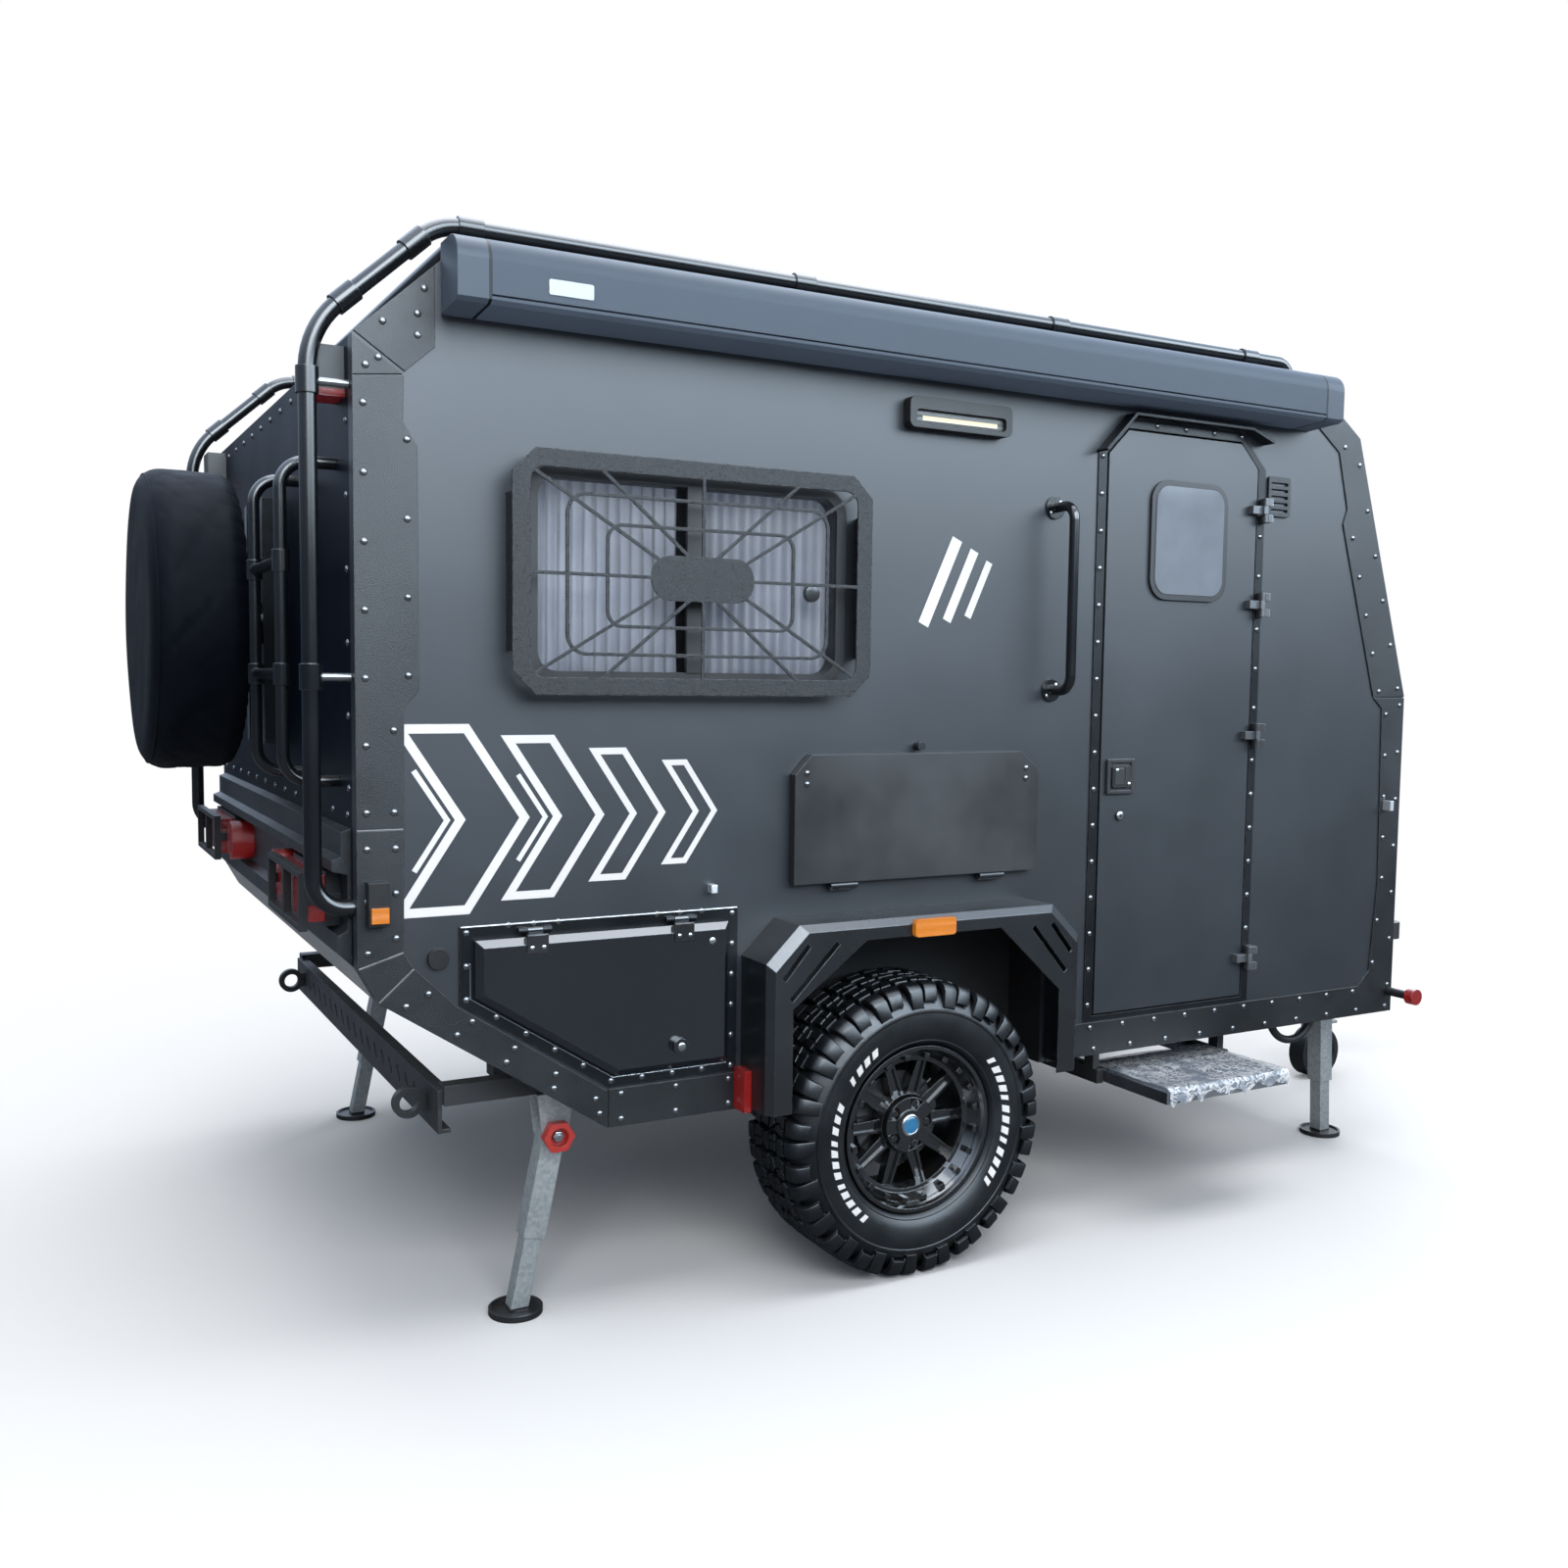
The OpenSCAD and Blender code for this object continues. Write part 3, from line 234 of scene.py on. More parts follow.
def wire_bump(tree: Tree, height: Socket, strength: float, depth: float) -> Node:
    """Let the shader's normal follow a height.

    Args:
        tree: The material's tree.
        height: The height's socket.
        strength: Strength of the bump.
        depth: Its depth in metres.

    Returns:
        The bump node.
    """
    bump = add(tree, "ShaderNodeBump", {"Strength": strength, "Distance": depth})
    tree.links.new(height, bump.inputs["Height"])
    feed(tree, bump.outputs[0], "Normal")
    return bump


def box_mask(tree: Tree, low: Point, high: Point) -> Socket:
    """Mask that is 1 inside a box of object coordinates; limits at FAR are left open.

    Args:
        tree: The node tree.
        low: Low corner of the box.
        high: High corner of the box.

    Returns:
        The mask's socket.
    """
    mask = 1.0
    for k, along in enumerate(axes(tree)):
        for how, limit in (("GREATER_THAN", low[k]), ("LESS_THAN", high[k])):
            if abs(limit) < FAR:
                mask = math_node(tree, "MULTIPLY", math_node(tree, how, along, limit), mask)
    return mask


class GroupMaker:
    """Builds each shared shader group once."""

    def __init__(self) -> None:
        """Start with no groups."""
        self.made: dict[str, Tree] = {}

    def get(self, name: str, inputs: dict[str, float], outputs: Sequence[str],
            fill: Callable[[Tree, Node, Node], None]) -> Tree:
        """Return the named group, building it on first use.

        Args:
            name: The group's name.
            inputs: Number inputs and their defaults.
            outputs: Names of the value outputs.
            fill: Function that adds the nodes between input and output.

        Returns:
            The group's tree.
        """
        if name not in self.made:
            tree = bpy.data.node_groups.new(name, "ShaderNodeTree")
            for key, value in inputs.items():
                socket = tree.interface.new_socket(name=key, in_out="INPUT", socket_type="NodeSocketFloat")
                socket.default_value = value
            for key in outputs:
                tree.interface.new_socket(name=key, in_out="OUTPUT", socket_type="NodeSocketFloat")
            fill(tree, add(tree, "NodeGroupInput"), add(tree, "NodeGroupOutput"))
            self.made[name] = tree
        return self.made[name]

    def grain(self) -> Tree:
        """Fine surface grain and broad mottling from object coordinates."""
        def fill(t: Tree, i: Node, o: Node) -> None:
            """Wire two noises of different size."""
            for out, detail in (("Grain", 2.0), ("Mottle", 4.0)):
                noise = pattern(t, "Noise", {"Detail": detail, "Roughness": 0.6})
                t.links.new(i.outputs[f"{out} Scale"], noise.inputs["Scale"])
                t.links.new(remap(t, noise.outputs[0], (0.3, 0.7), UNIT), o.inputs[out])
        return self.get("surface_grain", {"Grain Scale": 600.0, "Mottle Scale": 3.0}, ["Grain", "Mottle"], fill)

    def wear(self) -> Tree:
        """Edges broken up by noise: scuffed paint on most finishes, painted edge highlights on the window guards."""
        def fill(t: Tree, i: Node, o: Node) -> None:
            """Compare the rounded normal with the flat one."""
            soft = add(t, "ShaderNodeBevel", samples=3)
            t.links.new(i.outputs["Radius"], soft.inputs["Radius"])
            flat = add(t, "ShaderNodeNewGeometry")
            dot = add(t, "ShaderNodeVectorMath", operation="DOT_PRODUCT")
            t.links.new(soft.outputs[0], dot.inputs[0])
            t.links.new(flat.outputs["Normal"], dot.inputs[1])
            edge = remap(t, dot.outputs["Value"], (0.985, 0.85), UNIT)
            noise = pattern(t, "Noise", {"Scale": 55.0, "Detail": 5.0, "Roughness": 0.7})
            rubbed_and_glint = math_node(t, "MULTIPLY", edge, remap(t, noise.outputs[0], (0.42, 0.62), UNIT))
            t.links.new(math_node(t, "MULTIPLY", rubbed_and_glint, i.outputs["Amount"]), o.inputs["Mask"])
        return self.get("edge_wear", {"Radius": 0.003, "Amount": 0.3}, ["Mask"], fill)

    def dust(self) -> Tree:
        """Fine dust on faces that look up, and road dirt low down."""
        def fill(t: Tree, i: Node, o: Node) -> None:
            """Mix the upward look and the height with noise."""
            up = add(t, "ShaderNodeSeparateXYZ")
            t.links.new(add(t, "ShaderNodeNewGeometry").outputs["Normal"], up.inputs[0])
            noise = pattern(t, "Noise", {"Scale": 9.0, "Detail": 8.0, "Roughness": 0.65})
            top = remap(t, up.outputs[2], (0.3, 1.0), UNIT)
            low = remap(t, axes(t)[2], (0.75, 0.0), (0.0, 0.7))
            both = math_node(t, "ADD", top, low)
            spread = math_node(t, "MULTIPLY", both, remap(t, noise.outputs[0], (0.35, 0.75), UNIT))
            t.links.new(math_node(t, "MULTIPLY", spread, i.outputs["Amount"]), o.inputs["Mask"])
        return self.get("settled_dust", {"Amount": 0.1}, ["Mask"], fill)

    def weave(self) -> Tree:
        """Plain weave height from the piece's own UV map, in threads over one unit."""
        def fill(t: Tree, i: Node, o: Node) -> None:
            """Cross two sines."""
            waves = [math_node(t, "SINE", math_node(t, "MULTIPLY", along, i.outputs["Threads"]))
                     for along in axes(t, "UV")[:2]]
            t.links.new(remap(t, math_node(t, "MULTIPLY", *waves), (-1.0, 1.0), UNIT), o.inputs["Height"])
        return self.get("plain_weave", {"Threads": 4000.0}, ["Height"], fill)


GROUPS = GroupMaker()


def place_group(tree: Tree, group: Tree, values: dict[str, float]) -> Node:
    """Place a shared group in a material with its own values.

    Args:
        tree: The material's tree.
        group: The shared group.
        values: Input values by name.

    Returns:
        The group node.
    """
    return add(tree, "ShaderNodeGroup", values, node_tree=group)


# Finishes

@dataclass(frozen=True)
class Coating:
    """A hard surface: paint, powder coat, moulded plastic, rubber or metal."""
    name: str
    base: Rgb
    light: Rgb
    # Colour at the masked edges: worn paint on most finishes, a painted edge highlight on the window guards.
    worn_and_glint_tint: Rgb = (0.25, 0.26, 0.27)
    roughness: float = 0.5
    rough_swing: float = 0.1
    metallic: float = 0.0
    specular: float = 0.5
    coat: float = 0.0
    grain: float = 600.0
    mottle: float = 2.5
    bump: float = 0.15
    depth: float = 0.0003
    wear: float = 0.25
    dust: float = 0.08
    dust_tint: Rgb = (0.30, 0.28, 0.25)
    edge: float = 0.0025

    def colour(self, tree: Tree, mottle: Socket) -> Socket:
        """Colour before scuffed edges, painted edge highlights and dust."""
        return blend_colour(tree, mottle, self.base, self.light)

    def height(self, tree: Tree, grain: Socket) -> Socket:
        """Height that the bump follows."""
        return grain

    def build(self) -> Material:
        """Wire colour, roughness and bump.

        Returns:
            The material.
        """
        mat, tree = start_material(self.name, {
            "Metallic": self.metallic, "Specular IOR Level": self.specular, "Coat Weight": self.coat,
            "Coat Roughness": COAT_ROUGHNESS})
        tex = place_group(tree, GROUPS.grain(), {"Grain Scale": self.grain, "Mottle Scale": self.mottle})
        colour = self.colour(tree, tex.outputs["Mottle"])
        for amount, group, tint in ((self.wear, GROUPS.wear, self.worn_and_glint_tint), (self.dust, GROUPS.dust, self.dust_tint)):
            if amount:
                mask = place_group(tree, group(), {"Amount": amount}).outputs[0]
                colour = blend_colour(tree, mask, colour, tint)
        feed(tree, colour, "Base Color")
        rough = remap(tree, tex.outputs["Mottle"], UNIT,
                      (self.roughness - self.rough_swing, self.roughness + self.rough_swing))
        feed(tree, rough, "Roughness")
        bump = wire_bump(tree, self.height(tree, tex.outputs["Grain"]), self.bump, self.depth)
        soft = add(tree, "ShaderNodeBevel", {"Radius": self.edge}, samples=4)
        tree.links.new(soft.outputs[0], bump.inputs["Normal"])
        return mat


@dataclass(frozen=True)
class LegSteel(Coating):
    """Galvanised steel with crystal patches, and black feet on the ground."""
    foot: Rgb = (0.012, 0.012, 0.013)
    foot_z: float = 0.017
    crystals: float = 110.0

    def colour(self, tree: Tree, mottle: Socket) -> Socket:
        """Zinc patches, with the foot below its height in black."""
        cells = pattern(tree, "Voronoi", {"Scale": self.crystals})
        grey = add(tree, "ShaderNodeSeparateColor")
        tree.links.new(cells.outputs["Color"], grey.inputs[0])
        zinc = blend_colour(tree, grey.outputs[0], self.base, self.light)
        low = box_mask(tree, (-FAR, -FAR, -FAR), (FAR, FAR, self.foot_z))
        return blend_colour(tree, low, zinc, self.foot)


@dataclass(frozen=True)
class Zoned(Coating):
    """A coating with another colour inside a box, for a fitting of two materials made as one."""
    low: Point = (-FAR, -FAR, -FAR)
    high: Point = (FAR, FAR, FAR)
    inside: Rgb = (0.4, 0.41, 0.42)
    inside_metal: float = 0.8

    def colour(self, tree: Tree, mottle: Socket) -> Socket:
        """The plain colour outside the box, the other one inside."""
        return blend_colour(tree, box_mask(tree, self.low, self.high), super().colour(tree, mottle), self.inside)

    def build(self) -> Material:
        """Make the inside of the box as metallic as its material."""
        mat = super().build()
        tree = mat.node_tree
        metal = remap(tree, box_mask(tree, self.low, self.high), UNIT, (self.metallic, self.inside_metal))
        feed(tree, metal, "Metallic")
        return mat


@dataclass(frozen=True)
class LensPlastic(Coating):
    """Clear coloured plastic with moulded ribs."""
    ribs: float = 260.0
    glow: float = 0.0

    def height(self, tree: Tree, grain: Socket) -> Socket:
        """Crossed ribs as on a lamp lens."""
        waves = [math_node(tree, "SINE", math_node(tree, "MULTIPLY", along, self.ribs)) for along in axes(tree)[1:]]
        return math_node(tree, "ADD", math_node(tree, "MULTIPLY", *waves), grain)

    def build(self) -> Material:
        """Add the glow of a lit lens to the coating."""
        mat = super().build()
        shader = mat.node_tree.nodes[PRINCIPLED]
        shader.inputs["Emission Color"].default_value = (*self.light, 1.0)
        shader.inputs["Emission Strength"].default_value = self.glow
        return mat


@dataclass(frozen=True)
class ClearSheet:
    """Tinted acrylic or clear film."""
    name: str
    tint: Rgb
    roughness: float
    alpha: float
    bump: float
    scale: float

    def build(self) -> Material:
        """Wire a thin clear sheet with a faint ripple.

        Returns:
            The material.
        """
        mat, tree = start_material(self.name, {"Specular IOR Level": 0.6, "Alpha": self.alpha})
        tex = place_group(tree, GROUPS.grain(), {"Grain Scale": self.scale, "Mottle Scale": 6.0})
        mottle = tex.outputs["Mottle"]
        feed(tree, blend_colour(tree, mottle, self.tint, [c * 1.25 for c in self.tint]), "Base Color")
        feed(tree, remap(tree, mottle, UNIT, (self.roughness, self.roughness + 0.06)), "Roughness")
        wire_bump(tree, tex.outputs["Grain"], self.bump, 0.001)
        return mat


@dataclass(frozen=True)
class CrinkleFilm(ClearSheet):
    """Clear film with white lines between its facets: painted glints along the creases."""
    # White of the painted glints along the creases.
    crease: Rgb = (0.94, 0.95, 0.97)
    cells: float = 19.0
    warp: float = 0.09
    crease_glint_alpha: float = 0.95

    def build(self) -> Material:
        """Whiten the edges of distorted cells as painted glints along the creases.

        Returns:
            The material.
        """
        mat = super().build()
        tree = mat.node_tree
        noise = pattern(tree, "Noise", {"Scale": 14.0, "Detail": 4.0, "Distortion": 1.5})
        moved = add(tree, "ShaderNodeVectorMath", operation="ADD")
        shift = add(tree, "ShaderNodeVectorMath", {1: (self.warp,) * 3}, operation="MULTIPLY")
        tree.links.new(noise.outputs["Color"], shift.inputs[0])
        tree.links.new(add(tree, "ShaderNodeTexCoord").outputs["Object"], moved.inputs[0])
        tree.links.new(shift.outputs[0], moved.inputs[1])
        lines = 0.0
        for scale, wide in ((self.cells, 0.09), (self.cells * 2.3, 0.14)):
            cell = add(tree, "ShaderNodeTexVoronoi", {"Scale": scale}, feature="DISTANCE_TO_EDGE")
            tree.links.new(moved.outputs[0], cell.inputs["Vector"])
            lines = math_node(tree, "MAXIMUM", remap(tree, cell.outputs[0], (0.0, wide), (1.0, 0.0)), lines)
        patch = pattern(tree, "Noise", {"Scale": 16.0, "Detail": 3.0})
        lines = math_node(tree, "MULTIPLY", lines, remap(tree, patch.outputs[0], (0.34, 0.52), (0.15, 1.0)))
        feed(tree, blend_colour(tree, lines, self.tint, self.crease), "Base Color")
        feed(tree, remap(tree, lines, UNIT, (self.alpha, self.crease_glint_alpha)), "Alpha")
        return mat


@dataclass(frozen=True)
class Cloth:
    """Woven fabric on a piece with a UV map in metres."""
    name: str
    base: Rgb
    light: Rgb
    threads: float = 5200.0
    sheen: float = 0.3
    roughness: float = 0.8
    bump: float = 0.25
    specular: float = 0.16
    # Frequency of stripes of painted shade along the pleats; 0 for none.
    pleat_shade: float = 0.0

    def build(self) -> Material:
        """Wire weave, mottling and sheen, with painted shade between the threads and, where set, along the pleats.

        Returns:
            The material.
        """
        mat, tree = start_material(self.name, {
            "Sheen Weight": self.sheen, "Sheen Roughness": 0.5, "Specular IOR Level": self.specular})
        tex = place_group(tree, GROUPS.grain(), {"Grain Scale": 240.0, "Mottle Scale": 7.0})
        weave = place_group(tree, GROUPS.weave(), {"Threads": self.threads}).outputs[0]
        colour = blend_colour(tree, tex.outputs["Mottle"], self.base, self.light)
        # Painted shade: stripes darkened where the pleats fold in.
        if self.pleat_shade:
            wave = math_node(tree, "SINE", math_node(tree, "MULTIPLY", axes(tree, "UV")[0], self.pleat_shade))
            shade = remap(tree, wave, (-0.4, 0.9), (0.0, 0.5))
            colour = blend_colour(tree, shade, colour, [c * 0.3 for c in self.base])
        # Painted shade between the threads: the weave's low parts darkened.
        painted_shade = remap(tree, weave, UNIT, (0.35, 0.0))
        feed(tree, blend_colour(tree, painted_shade, colour, [c * 0.5 for c in self.base]), "Base Color")
        rough = (self.roughness - 0.08, self.roughness + 0.08)
        feed(tree, remap(tree, tex.outputs["Mottle"], UNIT, rough), "Roughness")
        wire_bump(tree, math_node(tree, "ADD", weave, tex.outputs["Grain"]), self.bump, 0.0005)
        return mat


@dataclass(frozen=True)
class StripLens(LensPlastic):
    """Dark lens with a lit strip between two heights."""
    low: float = 2.226
    high: float = 2.238
    ends: tuple[float, float] = (0.045, 0.285)
    lit: Rgb = (1.0, 0.86, 0.55)

    def build(self) -> Material:
        """Light the strip alone."""
        mat = super().build()
        tree = mat.node_tree
        strip = box_mask(tree, (self.ends[0], -FAR, self.low), (self.ends[1], FAR, self.high))
        feed(tree, blend_colour(tree, strip, (0.0, 0.0, 0.0), self.lit), "Emission Color")
        return mat


MOULDED = dict(base=(0.007, 0.0072, 0.008), light=(0.011, 0.0112, 0.012), specular=0.4, grain=800.0, bump=0.3,
               depth=0.0004, wear=0.12, worn_and_glint_tint=(0.05, 0.05, 0.055))
TUBE = dict(base=(0.004, 0.0048, 0.006), light=(0.007, 0.008, 0.0095), roughness=0.2, rough_swing=0.05, specular=0.6,
            grain=500.0, bump=0.12, wear=0.2, dust=0.05)
LENS = dict(rough_swing=0.04, coat=0.4, bump=0.35, depth=0.0012, wear=0.0)

FINISHES = {
    "panel": Coating("panel_paint", (0.0095, 0.0132, 0.0185), (0.0125, 0.017, 0.0235), roughness=0.42, rough_swing=0.03,
                     specular=0.62, grain=900.0, bump=0.10, wear=0.10, dust=0.05),
    "roof": Coating("roof_paint", (0.0105, 0.014, 0.019), (0.014, 0.0185, 0.025), roughness=0.62, rough_swing=0.05,
                    specular=0.15, grain=700.0, bump=0.2, depth=0.0004, wear=0.1, dust=0.08),
    # Rear panel: a darker, bluer copy of the side paint, painted shade of the rear face turned away from the light.
    "rear": Coating("rear_panel_shaded_paint", (0.002, 0.0042, 0.0095), (0.003, 0.006, 0.0125), roughness=0.42,
                    rough_swing=0.04, specular=0.07, grain=700.0, bump=0.08, wear=0.10, dust=0.04),
    "under": Coating("underside_sheet", (0.16, 0.165, 0.17), (0.22, 0.225, 0.23), roughness=0.5, grain=300.0,
                     bump=0.2, depth=0.0004, wear=0.2, dust=0.15),
    "lid": Coating("lid_paint", (0.003, 0.0052, 0.0082), (0.0045, 0.007, 0.0105), roughness=0.2, rough_swing=0.03,
                   specular=0.55, coat=1.0, grain=700.0, bump=0.06, wear=0.2, dust=0.06),
    "table": Coating("table_board", (0.0135, 0.014, 0.0155), (0.0175, 0.018, 0.0198), roughness=0.42, specular=0.6,
                     grain=500.0, bump=0.15, depth=0.0004, wear=0.25, dust=0.05),
    "armour": Coating("textured_plate", (0.0032, 0.0045, 0.0062), (0.006, 0.0078, 0.010), roughness=0.4,
                      specular=0.5, grain=420.0, bump=0.5, depth=0.0006, wear=0.35, dust=0.06),
    "frame": Coating("frame_coat", (0.003, 0.0046, 0.0068), (0.0055, 0.0078, 0.0108), roughness=0.36, specular=0.26,
                     grain=420.0, bump=0.35, depth=0.0005, wear=0.4, dust=0.04),
    "flare": Coating("flare_coat", (0.0028, 0.0038, 0.0054), (0.005, 0.0066, 0.009), roughness=0.3, rough_swing=0.05,
                     specular=0.8, grain=420.0, bump=0.3, depth=0.0005, wear=0.35, dust=0.04),
    # Window guards: the grey speckle on near-black is a painted sparkle, and the pale blue-grey edge mask is a painted
    # edge highlight.
    "guard": Coating("guard_coat", (0.0005, 0.0008, 0.0012), (0.021, 0.024, 0.028), roughness=0.32, specular=0.3,
                     grain=420.0, mottle=110.0, bump=0.8, depth=0.001, wear=0.6, worn_and_glint_tint=(0.3, 0.32, 0.35), dust=0.03,
                     edge=0.004),
    "tube": Coating("tube_coat", **TUBE),
    "chassis": Coating("chassis_paint", (0.008, 0.008, 0.009), (0.014, 0.014, 0.015), roughness=0.45, grain=300.0,
                       bump=0.3, depth=0.0005, wear=0.35, dust=0.12),
    "plastic": Coating("moulded_plastic", roughness=0.5, dust=0.07, **MOULDED),
    "cap": Zoned("end_cap_plastic", (0.052, 0.069, 0.094), (0.062, 0.081, 0.109), roughness=0.42, specular=0.2,
                 grain=800.0, bump=0.2, depth=0.0004, wear=0.12, worn_and_glint_tint=(0.08, 0.09, 0.10), dust=0.06,
                 low=(-1.140, -FAR, -FAR), high=(1.432, FAR, FAR), inside=(0.006, 0.007, 0.009), inside_metal=0.0),
    "awning": Coating("awning_anodised", (0.066, 0.087, 0.118), (0.077, 0.100, 0.134), roughness=0.46,
                      rough_swing=0.04, specular=0.12, grain=900.0, bump=0.06, wear=0.15, dust=0.05),
    "rim": Coating("rim_coat", (0.0028, 0.0030, 0.0036), (0.0045, 0.0048, 0.0056), roughness=0.14, rough_swing=0.04,
                   specular=0.7, coat=0.8, grain=500.0, bump=0.06, wear=0.15, dust=0.03),
    "rubber": Coating("tyre_rubber", (0.0022, 0.003, 0.0044), (0.0048, 0.006, 0.0076), roughness=0.38, rough_swing=0.08,
                      specular=0.45, grain=380.0, mottle=8.0, bump=0.3, depth=0.0006, wear=0.0, dust=0.05,
                      dust_tint=(0.10, 0.098, 0.094)),
    "hose": Coating("hose_rubber", (0.008, 0.008, 0.009), (0.014, 0.014, 0.014), roughness=0.5, grain=500.0,
                    bump=0.2, depth=0.0004, wear=0.0, dust=0.1),
    "zinc": LegSteel("galvanised_steel", (0.27, 0.30, 0.31), (0.37, 0.40, 0.41), roughness=0.42, rough_swing=0.1,
                     metallic=0.3, grain=260.0, bump=0.15, depth=0.0004, wear=0.15, worn_and_glint_tint=(0.6, 0.6, 0.6), dust=0.10),
    # Bright steel: also the painted highlight beads on the locker frames.
    "steel": Coating("bright_steel", (0.36, 0.37, 0.38), (0.52, 0.53, 0.54), roughness=0.28, metallic=1.0,
                     grain=700.0, bump=0.1, wear=0.0, dust=0.05),
    "dark_steel": Coating("dark_steel", (0.03, 0.031, 0.033), (0.05, 0.051, 0.054), roughness=0.32, metallic=0.6,
                          grain=600.0, bump=0.1, wear=0.4, worn_and_glint_tint=(0.5, 0.5, 0.5), dust=0.05),
    "rivet": Coating("rivet_head", (0.13, 0.134, 0.14), (0.19, 0.195, 0.2), roughness=0.26, metallic=0.8,
                     grain=700.0, bump=0.08, wear=0.0, dust=0.04),
    "knob": Coating("red_knob", (0.42, 0.018, 0.012), (0.5, 0.03, 0.02), roughness=0.36, grain=500.0, bump=0.1,
                    depth=0.0004, wear=0.15, worn_and_glint_tint=(0.6, 0.2, 0.15), dust=0.08),
    "red": LensPlastic("red_lens", (0.22, 0.006, 0.006), (0.32, 0.012, 0.010), roughness=0.14, dust=0.06, **LENS),
    "amber": LensPlastic("amber_lens", (0.66, 0.19, 0.010), (0.8, 0.26, 0.016), roughness=0.16, dust=0.05, **LENS),
    "lamp": StripLens("lamp_lens", (0.012, 0.012, 0.012), (0.02, 0.02, 0.02), roughness=0.2, rough_swing=0.04,
                      ribs=420.0, glow=0.9, bump=0.3, depth=0.001, wear=0.0, dust=0.03),
    "white": Coating("white_film", (0.78, 0.79, 0.79), (0.84, 0.84, 0.84), roughness=0.4, grain=700.0, bump=0.06,
                     depth=0.0002, wear=0.0, dust=0.05),
    "fitting": Zoned("fitting_plastic", roughness=0.42, dust=0.05, low=(-FAR, -FAR, 1.0), high=(FAR, FAR, 1.2),
                     inside=(0.62, 0.63, 0.64), **MOULDED),
    "hinge": Zoned("hinge_steel", (0.085, 0.09, 0.097), (0.125, 0.13, 0.138), roughness=0.32, metallic=0.6,
                   grain=600.0, bump=0.1, wear=0.4, worn_and_glint_tint=(0.5, 0.5, 0.5), dust=0.05, high=(0.6, FAR, FAR),
                   inside=(0.012, 0.015, 0.019), inside_metal=0.0),
    "housing": Zoned("lamp_housing", roughness=0.42, dust=0.07, low=(-FAR, -FAR, 2.1), inside=(0.05, 0.055, 0.06),
                     inside_metal=0.0, **MOULDED),
    "rack": Zoned("rack_coat", low=(-1.466, -FAR, 1.2), high=(-1.402, FAR, 2.25), inside=(0.22, 0.23, 0.24), **TUBE),
    "door_fitting": Zoned("door_fitting", (0.007, 0.0076, 0.009), (0.011, 0.0118, 0.0135), roughness=0.42,
                          specular=0.45, grain=800.0, bump=0.2, depth=0.0004, wear=0.12, worn_and_glint_tint=(0.05, 0.05, 0.055),
                          dust=0.05, low=(1.24, -FAR, -FAR), inside=(0.11, 0.116, 0.124), inside_metal=0.6),
    # Lock frame: its lighter grey is a painted sheen; the window knobs share this grey as their own colour.
    "lock": Coating("lock_frame", (0.035, 0.039, 0.044), (0.046, 0.05, 0.056), roughness=0.34, metallic=0.3,
                    grain=700.0, bump=0.1, wear=0.2, dust=0.03),
    # The badge grey also makes the painted highlights on the corner plates' edges.
    "badge": Coating("blank_badge", (0.2, 0.215, 0.225), (0.26, 0.275, 0.285), roughness=0.3, metallic=0.3, grain=700.0,
                     bump=0.06, depth=0.0002, wear=0.1, dust=0.05),
    "blue": Coating("blue_cap", (0.02, 0.16, 0.33), (0.03, 0.21, 0.42), roughness=0.22, coat=0.4, grain=500.0,
                    bump=0.08, wear=0.1, dust=0.03),
    "glass": ClearSheet("tinted_acrylic", (0.03, 0.034, 0.04), 0.03, 0.12, 0.0, 20.0),
    "door_glass": ClearSheet("door_acrylic", (0.21, 0.245, 0.29), 0.05, 0.96, 0.0, 20.0),
    # Step film: its white crease lines are painted glints.
    "film": CrinkleFilm("clear_film", (0.30, 0.36, 0.44), 0.03, 0.58, 0.5, 48.0),
    "cover": Cloth("cover_fabric", (0.0012, 0.0024, 0.0052), (0.0026, 0.0042, 0.008), sheen=0.01, roughness=0.6,
                   specular=0.05),
    # Curtain: its pleat stripes are painted shade in the folds.
    "curtain": Cloth("curtain_fabric", (0.60, 0.67, 0.80), (0.80, 0.86, 0.96), threads=3600.0, sheen=0.2,
                     pleat_shade=139.6),
}

NODE_FINISH = {
    "panel": "side_wall_right side_wall_left front_panel entry_door",
    "roof": "roof_panel",
    "rear": "rear_panel",
    "under": "floor_panel",
    "lid": "locker_lid_right locker_lid_left",
    "table": "fold_table",
    "armour": "corner_armour rear_bumper",
    "frame": "opening_frames",
    "flare": "wheel_flares",
    "guard": "window_guards",
    "tube": "rack_cross_bars grab_handle rear_ladder spare_carrier",
    "rack": "rack_tubes",
    "chassis": "chassis_rails chassis_cross_members rear_beam tow_eyes axle_beam hub_arms drawbar_arms "
               "coupling_head step_slides",
    "plastic": "wheel_wells window_frames awning_light",
    "door_fitting": "entry_door_fittings",
    "housing": "lamp_housings",
    "fitting": "small_fittings",
    "cap": "awning_end_caps",
    "awning": "awning_case",
    "rim": "wheel_right_rim wheel_left_rim",
    "rubber": "wheel_right_tyre wheel_left_tyre jockey_wheel",
    "hose": "drain_hose",
    "zinc": "jockey_tube jockey_fork leg_rear_right leg_rear_left leg_front_right leg_front_left leg_brackets",
    "steel": "entry_step",
    "hinge": "hinge_mounts",
    "knob": "leg_caps",
    "red": "red_lamps",
    "amber": "amber_lamps",
    "lamp": "awning_light_lens",
    "glass": "window_panes",
    "door_glass": "entry_door_glass",
    "cover": "spare_wheel_cover",
    "curtain": "curtains",
}


